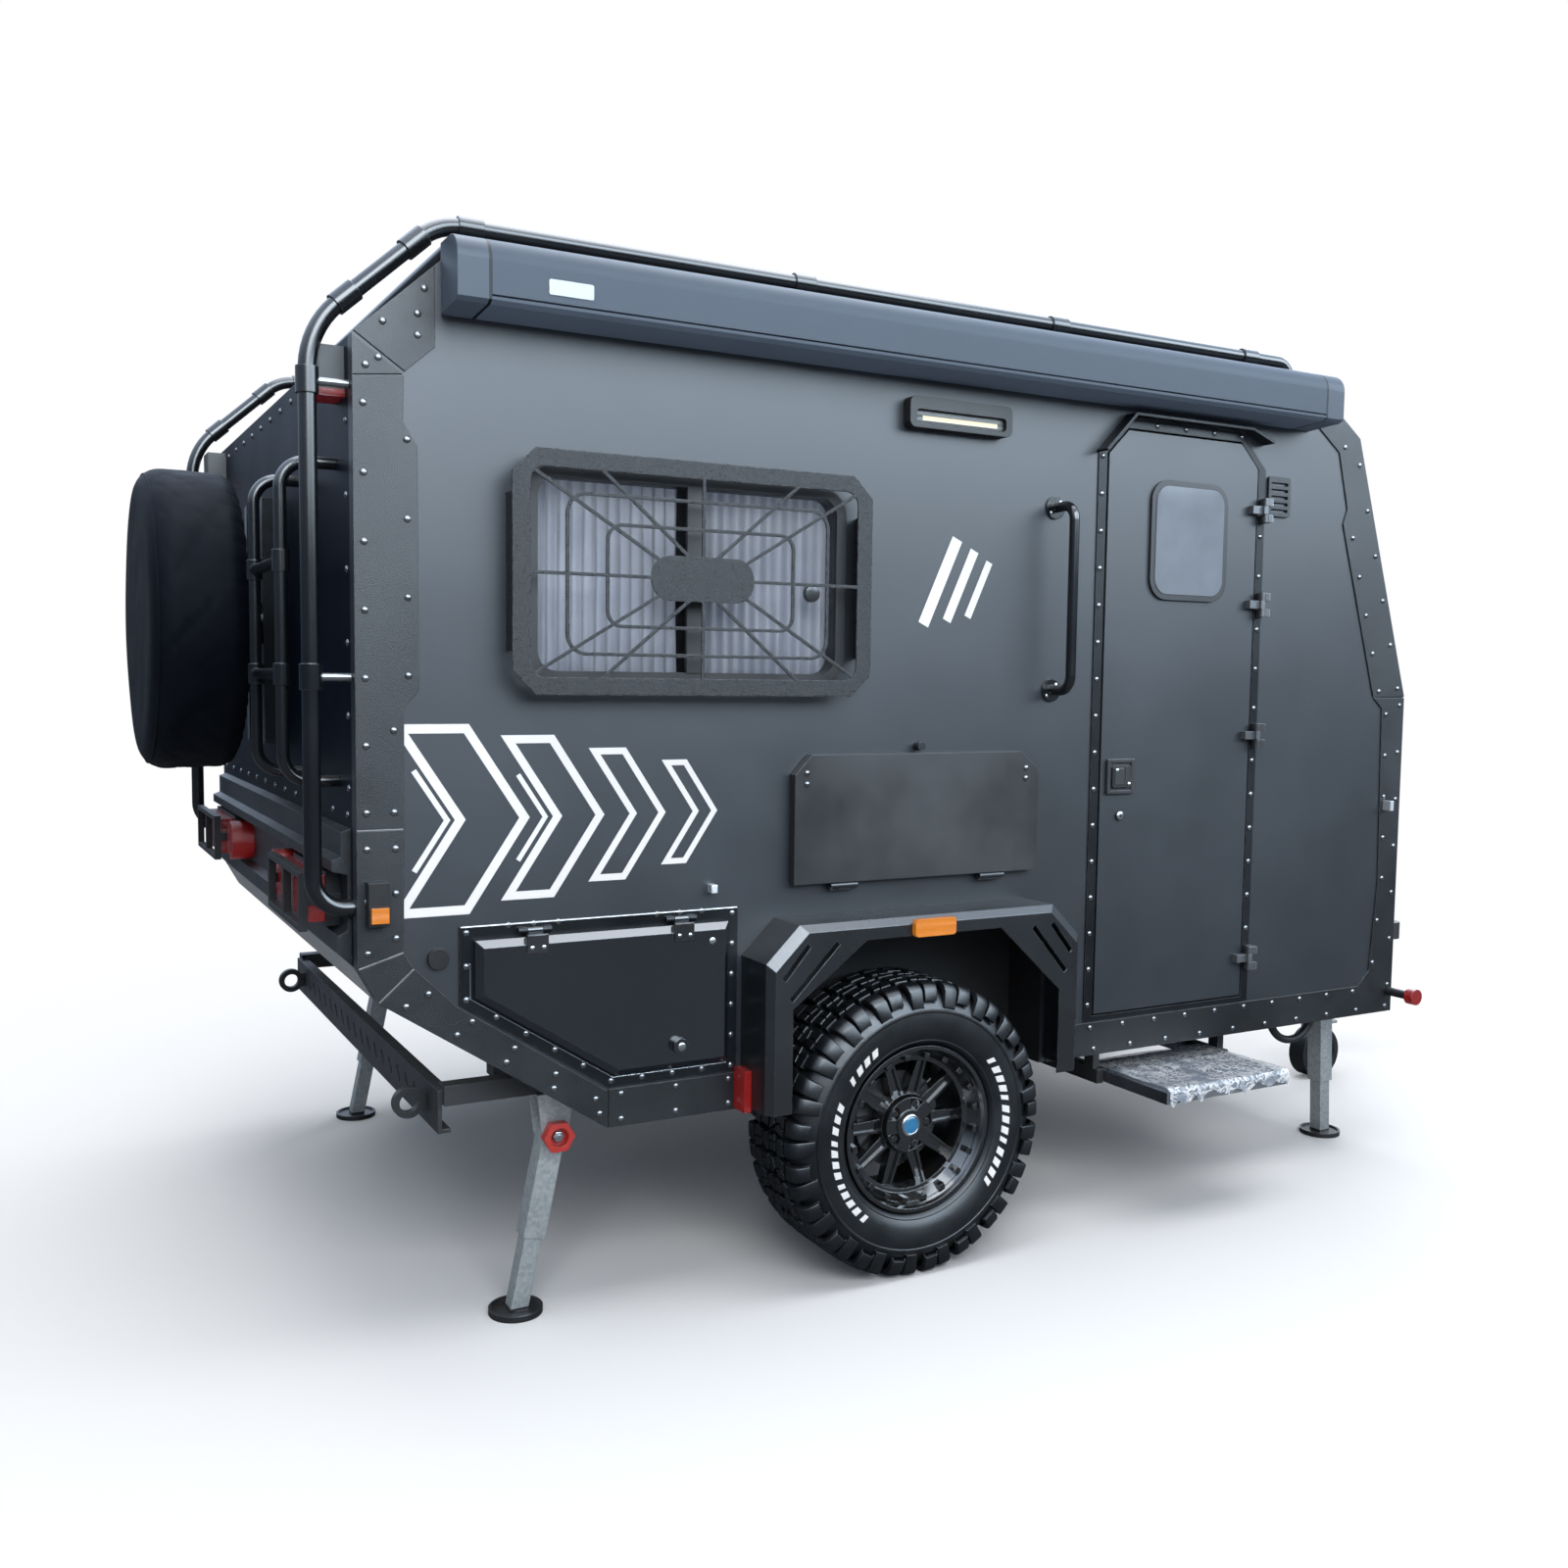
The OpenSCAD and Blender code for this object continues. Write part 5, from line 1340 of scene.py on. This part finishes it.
@dataclass
class DrainHose:
    """Stiff rubber hose that hangs in one loop below the floor, held at both ends."""
    palette: Palette
    start: Point = (1.600, -0.850, 0.590)
    span: float = 0.210
    drop: float = 0.120
    diameter: float = 0.026
    sides: int = 16

    def path(self) -> list[Point]:
        """Points of the hose: down, round and up again."""
        x, y, z = self.start
        r = self.span / 2
        down = [(x, y, z - self.drop * i / 6) for i in range(6)]
        loop = [(x + r - r * math.cos(a), y, z - self.drop - r * math.sin(a)) for a in np.linspace(0, math.pi, 21)]
        return down + loop + [(x + self.span, y, p[2]) for p in reversed(down)]

    def build(self) -> None:
        """Sweep the tube."""
        path = self.path()
        pts, n, r = [], self.sides, self.diameter / 2
        for i, p in enumerate(path):
            way = Vector(path[min(i + 1, len(path) - 1)]) - Vector(path[max(i - 1, 0)])
            out = Vector((0.0, 1.0, 0.0)).cross(way.normalized())
            pts += [(p[0] + r * math.cos(a) * out.x, p[1] + r * math.sin(a), p[2] + r * math.cos(a) * out.z)
                    for a in np.arange(n) * 2 * math.pi / n]
        faces = grid_faces(len(path), n, round_cols=True)
        faces += [list(range(n)), list(range((len(path) - 1) * n, len(path) * n))]
        obj = new_piece("drain_hose_loop", pts, faces, self.palette["hose"])
        install(obj, "trailer", Slot.HOSE, "drain_hose")


# Flat graphics and small trim

def bands(strokes: Sequence[tuple[Sequence[tuple[float, float]], float]], y: float) -> tuple[np.ndarray, list]:
    """Flat mitred bands along paths in the plane of a side wall.

    Args:
        strokes: Paths of (x, z) points, each with its width; a path that ends where it starts is closed.
        y: Place of the plane.

    Returns:
        Points and faces.
    """
    parts = []
    for path, width in strokes:
        closed = path[0] == path[-1]
        pts = [Vector(p) for p in (path[:-1] if closed else path)]
        n = len(pts)
        rims = []
        for i, p in enumerate(pts):
            before = (p - pts[i - 1]).normalized() if closed or i else (pts[1] - p).normalized()
            after = (pts[(i + 1) % n] - p).normalized() if closed or i < n - 1 else before
            a, b = Vector((-before.y, before.x)), Vector((-after.y, after.x))
            m = (a + b) / (1 + a.dot(b)) * width / 2
            rims += [p + m, p - m]
        verts = np.array([(q.x, y, q.y) for q in rims])
        faces = [[2 * i, 2 * ((i + 1) % n), 2 * ((i + 1) % n) + 1, 2 * i + 1] for i in range(n if closed else n - 1)]
        parts.append((verts, faces))
    return join_parts(parts)


def rounded_plate(middle: tuple[float, float], size: tuple[float, float], radius: float,
                  y: float) -> tuple[list[Point], list[list[int]]]:
    """Flat plate with rounded corners in the plane of a side wall.

    Args:
        middle: Its middle (x, z).
        size: Width and height.
        radius: Radius of the corners.
        y: Place of the plane.

    Returns:
        Points and one face.
    """
    w, h = size[0] / 2 - radius, size[1] / 2 - radius
    corners = ((w, h), (-w, h), (-w, -h), (w, -h))
    ring = [(middle[0] + dx + radius * math.cos(a), y, middle[1] + dz + radius * math.sin(a))
            for i, (dx, dz) in enumerate(corners) for a in np.linspace(i * math.pi / 2, (i + 1) * math.pi / 2, 9)]
    return ring, [list(range(len(ring)))]


@dataclass
class SideGraphic:
    """Plain arrow bands in white film on the lower rear of a side wall, and a small plain mark."""
    side: str
    palette: Palette
    wall: float = 1.0104

    def strokes(self) -> list[tuple[list[tuple[float, float]], float]]:
        """Stroke paths (x, z) with their widths."""
        out = []
        mid, slant = 1.228, 0.66
        for k, (tip, high, tail, width) in enumerate(((-1.02, 0.205, 0.150, 0.021), (-0.835, 0.180, 0.105, 0.019),
                                                      (-0.675, 0.150, 0.075, 0.016), (-0.535, 0.120, 0.05, 0.014))):
            run = high * slant
            out.append(([(tip - run - tail, mid + high), (tip - run, mid + high), (tip, mid), (tip - run, mid - high),
                         (tip - run - tail, mid - high), (tip - tail, mid), (tip - run - tail, mid + high)], width))
            if k < 2:
                edge, dx, dz = tip - tail - 0.03, run * 0.55, high * 0.55
                out.append(([(edge - dx, mid + dz), (edge, mid), (edge - dx, mid - dz)], width * 0.6))
        return out

    def mark(self) -> list[tuple[list[tuple[float, float]], float]]:
        """Three slanted stripes of falling length."""
        return [([(x, 1.70 + k * 0.012), (x + 0.105 - k * 0.018, 1.93 - k * 0.028)], 0.034 - k * 0.006)
                for k, x in enumerate((0.075, 0.150, 0.218))]

    def build(self) -> None:
        """Make the bands."""
        strokes = self.strokes() + self.mark()
        obj = new_piece(f"side_bands_{self.side}", *bands(strokes, SIDES[self.side] * self.wall),
                        self.palette["white"], smooth=False)
        install(thicken(obj, 0.0003), "trailer", Slot.BODY)


@dataclass
class PlateEdgeHighlights:
    """Grey strips in the seams of the rear corner plates: painted highlights on the plates' edges."""
    side: str
    palette: Palette
    plate: float = 1.012
    width: float = 0.0032

    PATHS = (((-1.399, 1.212), (-1.299, 1.212)), ((-1.398, 0.907), (-1.30, 0.937)), ((-1.355, 0.828), (-1.277, 0.898)))

    def build(self) -> None:
        """Lay a strip in each seam."""
        obj = new_piece(f"plate_edge_highlights_{self.side}",
                        *bands([(path, self.width) for path in self.PATHS], SIDES[self.side] * self.plate),
                        self.palette["badge"], smooth=False)
        install(thicken(obj, 0.0036), "trailer", Slot.ARMOUR)


@dataclass
class BlankBadge:
    """Blank badge plate on the awning's front."""
    palette: Palette
    middle: tuple[float, float] = (-0.955, 2.394)
    size: tuple[float, float] = (0.104, 0.034)
    face: float = -1.1388

    def build(self) -> None:
        """Make the plate with rounded corners."""
        obj = new_piece("awning_badge", *rounded_plate(self.middle, self.size, 0.005, self.face), self.palette["badge"],
                        smooth=False)
        install(thicken(obj, 0.002), "trailer", Slot.AWNING)


@dataclass
class Trim:
    """Small parts of one finish on one body, joined in one mesh."""
    name: str
    body: str
    slot: Slot
    material: Material
    parts: list[tuple[np.ndarray, list]] = field(default_factory=list)

    def block(self, low: Point, high: Point, cut: float = 0.001) -> None:
        """Add a box with cut edges.

        Args:
            low: Low corner.
            high: High corner.
            cut: Width of the cut.
        """
        bm = bmesh.new()
        for ends in ((a, b, c) for a in (0, 1) for b in (0, 1) for c in (0, 1)):
            for skip in range(3):
                bm.verts.new([(low, high)[e][k] + (0.0 if k == skip else cut * (1 - 2 * e))
                              for k, e in enumerate(ends)])
        bmesh.ops.convex_hull(bm, input=bm.verts)
        bm.verts.index_update()
        self.parts.append((np.array([v.co[:] for v in bm.verts]), [[v.index for v in f.verts] for f in bm.faces]))
        bm.free()

    def turned(self, at: Point, way: Point, profile: Sequence[tuple[float, float]], sides: int = 28) -> None:
        """Add a turned part, or one with few sides.

        Args:
            at: Middle of its base.
            way: Direction it points to.
            profile: Points (radius, height), from the middle of its top down to its base.
            sides: Steps round its axis.
        """
        pts, faces = lathe(profile, sides)
        spin = Vector((0.0, 1.0, 0.0)).rotation_difference(Vector(way)).to_matrix()
        self.parts.append((pts @ np.array(spin).T + np.array(at), faces))

    def build(self) -> None:
        """Make the mesh and let it ride on its body."""
        install(new_piece(self.name, *join_parts(self.parts), self.material), self.body, self.slot)


@dataclass
class SmallTrim:
    """Lock, outer pane, straps, screws, knobs and bolts too small or too thin for the plan of solids."""
    palette: Palette
    door_face: float = -1.022
    lock_top: float = -1.030
    lid_face: float = 1.0483
    handle_face: float = -1.0158

    SCREW = ((0.0, 0.0022), (0.0035, 0.002), (0.0052, 0.0008), (0.0056, -0.001))
    BOLT = ((0.0, 0.014), (0.006, 0.014), (0.0065, 0.0125), (0.0125, 0.0125), (0.0145, 0.011), (0.0145, -0.001))
    KEY_PLATE = ((0.0, 0.0022), (0.0075, 0.0022), (0.0112, 0.0012), (0.0128, -0.0005))
    KEYHOLE_SHADE = ((0.0, 0.0016), (0.004, 0.0016), (0.0044, 0.0))
    LATCH = ((0.0, 0.004), (0.007, 0.004), (0.0105, 0.0025), (0.011, -0.001))
    CATCH = ((0.0, 0.003), (0.005, 0.003), (0.0085, 0.0016), (0.009, -0.001))
    KNOB = ((0.0, 0.030), (0.0165, 0.030), (0.0205, 0.028), (0.0215, 0.024), (0.0215, 0.014), (0.013, 0.012),
            (0.013, 0.0))

    def door(self) -> None:
        """Lock frame, dark strip and disc painted as shade in the slot and keyhole, outer pane, screws and key plate on
        the door.
        """
        y, top, out = self.door_face, self.lock_top, (0.0, -1.0, 0.0)
        # The frame's lighter grey finish is a painted sheen.
        ring = Trim("door_lock_frame", "door", Slot.BLACK, self.palette["lock"])
        x0, x1, z0, z1, w = 0.7135, 0.8145, 1.2325, 1.3345, 0.012
        for low, high in (((x0, z0), (x0 + w, z1)), ((x1 - w, z0), (x1, z1)), ((x0 + w, z0), (x1 - w, z0 + w)),
                          ((x0 + w, z1 - w), (x1 - w, z1))):
            ring.block((low[0], y - 0.005, low[1]), (high[0], y + 0.001, high[1]), 0.0018)
        ring.block((0.735, top - 0.003, 1.259), (0.770, top + 0.001, 1.309), 0.0015)
        ring.build()
        # Painted shade: a dark plastic strip and disc stand for the shaded lock slot and keyhole.
        painted_shade = Trim("door_lock_slot_shade", "door", Slot.PLASTIC, self.palette["plastic"])
        painted_shade.block((0.776, top - 0.0012, 1.257), (0.7865, top + 0.001, 1.311), 0.0005)
        painted_shade.turned((0.769, y - 0.002, 1.169), out, self.KEYHOLE_SHADE, 16)
        painted_shade.build()
        pane = new_piece("door_outer_pane", *rounded_plate((1.003, 1.968), (0.266, 0.311), 0.046, y - 0.0032),
                         self.palette["door_glass"], smooth=False)
        install(thicken(pane, 0.002), "door", Slot.GLASS)
        bright = Trim("door_lock_screws", "door", Slot.ZINC, self.palette["steel"])
        for x, z in ((0.744, 1.302), (0.790, 1.262)):
            bright.turned((x, top - 0.0025, z), out, self.SCREW, 18)
        bright.turned((0.769, y, 1.169), out, self.KEY_PLATE)
        bright.build()

    def lid(self, side: str) -> None:
        """Hinge straps, screws and latch end on a locker lid.

        Args:
            side: Side of the trailer.
        """
        out = SIDES[side]
        way = (0.0, out, 0.0)
        strap = Trim(f"lid_straps_{side}", f"lid_{side}", Slot.BLACK, self.palette["dark_steel"])
        bright = Trim(f"lid_screws_{side}", f"lid_{side}", Slot.ZINC, self.palette["steel"])
        for x in (-1.0, -0.629):
            ys = sorted((out * 1.031, out * 1.0485))
            strap.block((x - 0.026, ys[0], 0.916), (x + 0.026, ys[1], 0.961), 0.002)
            for dx in (-0.014, 0.014):
                bright.turned((x + dx, out * self.lid_face, 0.930), way, self.SCREW, 14)
        bright.turned((-0.642, out * 1.0623, 0.660), way, self.LATCH)
        bright.turned((-0.553, out * 1.0443, 0.910), way, self.CATCH)
        strap.build()
        bright.build()

    def trailer(self) -> None:
        """Hinge edges, window knobs, and the bolts in the legs' knobs and under the handle."""
        bright = Trim("bright_bolts", "trailer", Slot.ZINC, self.palette["steel"])
        out = (0.0, -1.0, 0.0)
        for z in (0.710, 1.398, 1.794, 2.077):
            for dz in (-0.0355, 0.0135):
                bright.block((1.3188, -1.0446, z + dz), (1.3212, -1.015, z + dz + 0.022), 0.0006)
        for side in SIDES.values():
            way = (0.0, side, 0.0)
            for x, y, z in ((-0.910, 0.926, 0.440), (1.900, 0.846, 0.490)):
                bright.turned((x, side * y, z), way, self.BOLT, 6)
        for z in (1.530, 2.035):
            for turn in (45.0, 225.0):
                a = math.radians(turn)
                at = (0.508 + 0.022 * math.cos(a), self.handle_face, z + 0.022 * math.sin(a))
                bright.turned(at, out, self.SCREW, 14)
        bright.build()
        knob = Trim("window_knobs", "trailer", Slot.PLASTIC, self.palette["lock"])
        for side in SIDES.values():
            knob.turned((-0.273, side, 1.767), (0.0, side, 0.0), self.KNOB)
        knob.build()

    def build(self) -> None:
        """Make all the small parts."""
        self.door()
        self.trailer()
        for side in SIDES:
            self.lid(side)


@dataclass
class LockerLipHighlight:
    """Rolled edges of a locker's frame in bright steel, round the lid's lower side and along its top: a painted
    highlight where the frame's lip catches the light.
    """
    side: str
    palette: Palette
    plate: float = 1.0138
    wide: float = 0.0028
    tall: float = 0.0045
    steps: int = 7

    LOWER = ((-1.150, 0.900), (-1.150, 0.818), (-0.8032, 0.594), (-0.500, 0.594))
    UPPER = ((-1.172, 0.9835), (-0.472, 0.9835))

    def build(self) -> None:
        """Sweep a half-round section along both edges."""
        out, steps, parts = SIDES[self.side], self.steps, []
        for path in (self.LOWER, self.UPPER):
            n = len(path)
            rows = [bands([(path, 2 * self.wide * math.cos(a))], out * (self.plate + self.tall * math.sin(a)))[0][0::2]
                    for a in np.linspace(0, math.pi, steps)]
            ends = [[k * n + end for k in range(steps)] for end in (0, n - 1)]
            parts.append((np.vstack(rows), grid_faces(steps, n, True) + ends))
        obj = new_piece(f"locker_lip_highlight_{self.side}", *join_parts(parts), self.palette["steel"])
        install(obj, "trailer", Slot.ZINC)


@dataclass
class StepFilm:
    """Crinkled clear film that still lies on the entry step's tread."""
    palette: Palette
    low: Point = (0.794, -1.224, 0.4006)
    high: Point = (1.271, -0.872, 0.4006)
    grid: tuple[int, int] = (120, 96)
    hang: float = 0.042
    folds: int = 46
    rise: float = 0.014
    seed: int = 7
    slack: float = 1.05

    def build(self) -> None:
        """Crumple a sheet and let it hang over the outer edge."""
        nx, ny = self.grid
        u, v = np.meshgrid(np.linspace(0, 1, nx + 1), np.linspace(0, 1, ny + 1), indexing="ij")
        rng = np.random.default_rng(self.seed)
        fold = np.zeros_like(u)
        for _ in range(self.folds):
            a, at = rng.uniform(0, math.pi), rng.uniform(-0.6, 0.6)
            high = rng.uniform(0.25, 1.0) * rng.choice((-1, 1))
            fold += high * np.abs(np.cos(a) * (u - 0.5) + np.sin(a) * (v - 0.5) * 0.8 - at)
        plane = np.stack([u, v, u * v, u * u, v * v, np.ones_like(u)], -1).reshape(-1, 6)
        fold -= (plane @ np.linalg.lstsq(plane, fold.ravel(), rcond=None)[0]).reshape(u.shape)
        fold = (fold - fold.min()) / (fold.max() - fold.min())
        reach = self.high[1] - self.low[1]
        hem = 0.6 + 0.25 * np.sin(9 * u + 2 * np.sin(23 * u)) + 0.15 * np.sin(67 * u) * np.sin(17 * u + 1)
        along = v * (reach + self.hang * hem)
        over = np.maximum(along - reach, 0.0)
        wide = self.high[0] - self.low[0]
        x = self.low[0] + u * wide
        y = self.high[1] - np.minimum(along, reach) - np.where(over > 0, 0.004 + 0.006 * fold, 0.0)
        z = self.low[2] + np.where(over > 0, -over, self.rise * fold)
        pts = np.stack([x, y, z], -1).reshape(-1, 3)
        obj = new_piece("step_film", pts, grid_faces(nx + 1, ny + 1), self.palette["film"], smooth=False)
        install(obj, "step", Slot.GLASS)


# Studio

@dataclass
class Studio:
    """Pale floor, soft light and the photograph's camera."""
    eye: Point = (-2.08463, -4.16664, 1.55682)
    yaw: float = 61.0604
    pitch: float = -4.2624
    roll: float = 0.7227
    lens: float = 32.879
    sensor: float = 36.0
    floor_half: float = 60.0
    floor_z: float = -0.001
    fade_middle: Point = (0.5, -0.2, 0.0)
    fade: tuple[float, float] = (1.6, 4.6)

    AMBIENT = (0.34, 0.382, 0.445)
    SKY_LOW, SKY_HIGH = (0.09, 0.125, 0.18), (2.1, 2.55, 3.2)
    FLOOR, FLOOR_REFLECTED = (0.88, 0.885, 0.89), (0.14, 0.15, 0.165)
    CARD = (0.74, 0.88, 1.0)

    def camera(self) -> None:
        """Set the camera at the photograph's place."""
        yaw, pitch, roll = (math.radians(v) for v in (self.yaw, self.pitch, self.roll))
        d = Vector((math.cos(yaw) * math.cos(pitch), math.sin(yaw) * math.cos(pitch), math.sin(pitch)))
        r = d.cross(Vector((0, 0, 1))).normalized()
        u = r.cross(d)
        r2, u2 = r * math.cos(roll) + u * math.sin(roll), u * math.cos(roll) - r * math.sin(roll)
        data = bpy.data.cameras.new("photo_camera")
        data.lens, data.sensor_width, data.clip_end = self.lens, self.sensor, 200.0
        cam = new_object("photo_camera", data)
        turn = Matrix((r2, u2, -d)).transposed().to_4x4()
        cam.matrix_world = Matrix.Translation(self.eye) @ turn
        bpy.context.scene.camera = cam

    @staticmethod
    def rays(tree: Tree) -> tuple[Socket, Socket]:
        """Masks of the rays that see the stage directly and of those that see it reflected.

        Args:
            tree: The node tree.

        Returns:
            The mask of camera and transmission rays, and that of glossy rays.
        """
        path = add(tree, "ShaderNodeLightPath")
        seen = math_node(tree, "MAXIMUM", path.outputs["Is Camera Ray"], path.outputs["Is Transmission Ray"])
        return seen, path.outputs["Is Glossy Ray"]

    def world(self) -> None:
        """White for the camera, a sky that brightens upwards for reflections, plain soft light for the rest."""
        world = bpy.data.worlds.new("studio")
        bpy.context.scene.world = world
        world.use_nodes = True
        t = world.node_tree
        back = t.nodes["Background"]
        seen, glossy = self.rays(t)
        sky = blend_colour(t, remap(t, axes(t, "Generated")[2], (0.05, 0.7), UNIT), self.SKY_LOW, self.SKY_HIGH)
        plain = blend_colour(t, glossy, self.AMBIENT, sky)
        t.links.new(blend_colour(t, seen, plain, (1.0, 1.0, 1.0)), back.inputs["Color"])
        back.inputs["Strength"].default_value = 1.0

    def lamp(self, name: str, at: Point, aim: Point, size: tuple[float, float], power: float,
             card: bool = False) -> None:
        """Place a soft lamp.

        Args:
            name: The lamp's name.
            at: Its place.
            aim: The point it looks at.
            size: Width and height of its face.
            power: Power in watts.
            card: Whether it is a pale card that only reflections see.
        """
        data = bpy.data.lights.new(name, "AREA")
        data.shape, data.energy = "RECTANGLE", power
        data.size, data.size_y = size
        obj = new_object(name, data)
        obj.location = at
        obj.rotation_euler = (Vector(aim) - Vector(at)).to_track_quat("-Z", "Y").to_euler()
        if card:
            data.color = self.CARD
            obj.visible_diffuse = False

    def floor(self) -> None:
        """Pale floor that keeps the trailer's shadow and runs out to white."""
        mat, t = start_material("studio_floor", {"Roughness": 0.9, "Specular IOR Level": 0.1})
        far = add(t, "ShaderNodeVectorMath", {1: self.fade_middle}, operation="DISTANCE")
        t.links.new(add(t, "ShaderNodeTexCoord").outputs["Object"], far.inputs[0])
        seen, glossy = self.rays(t)
        feed(t, blend_colour(t, glossy, self.FLOOR, self.FLOOR_REFLECTED), "Base Color")
        white = add(t, "ShaderNodeEmission")
        mix = add(t, "ShaderNodeMixShader")
        gone = remap(t, far.outputs["Value"], self.fade, UNIT)
        t.links.new(math_node(t, "MULTIPLY", seen, gone), mix.inputs[0])
        t.links.new(t.nodes[PRINCIPLED].outputs[0], mix.inputs[1])
        t.links.new(white.outputs[0], mix.inputs[2])
        t.links.new(mix.outputs[0], t.nodes["Material Output"].inputs["Surface"])
        s, z = self.floor_half, self.floor_z
        floor = new_piece("studio_floor", [(-s, -s, z), (s, -s, z), (s, s, z), (-s, s, z)], [[0, 1, 2, 3]], mat,
                          smooth=False)

    def build(self) -> None:
        """Set the whole stage."""
        self.camera()
        self.world()
        self.floor()
        self.lamp("key", (-2.5, -8.0, 6.0), (0.0, -1.0, 1.5), (6.0, 4.0), 420.0)
        self.lamp("top", (0.5, -0.5, 8.0), (0.5, -0.5, 0.0), (7.0, 7.0), 620.0)
        self.lamp("front_fill", (7.0, 5.0, 4.0), (0.5, 0.0, 1.2), (4.0, 4.0), 240.0)
        self.lamp("sky_card", (4.0, -8.5, 6.2), (2.0, -1.0, 1.7), (18.0, 6.0), 3450.0, card=True)
        bpy.context.scene.view_settings.view_transform = "Standard"


def main() -> None:
    """Build every piece in order."""
    logging.basicConfig(level=logging.INFO, format="%(name)s: %(message)s")
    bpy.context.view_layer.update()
    Studio().build()
    palette = Palette()
    palette.paint_nodes()
    rivets = Rivets(palette)
    RivetPlan().place(rivets)
    rivets.build()
    for side in SIDES:
        Tyre(side, palette).build()
        HubCap(side, palette).build()
        SideGraphic(side, palette).build()
        PlateEdgeHighlights(side, palette).build()
        LockerLipHighlight(side, palette).build()
        for k, x in enumerate((-0.8155, -0.3805)):
            CurtainPanel(f"curtain_{side}_{k + 1}", side, x, palette).build()
    SpareCover(palette).build()
    DrainHose(palette).build()
    BlankBadge(palette).build()
    SmallTrim(palette).build()
    StepFilm(palette).build()


if __name__ == "__main__":
    main()
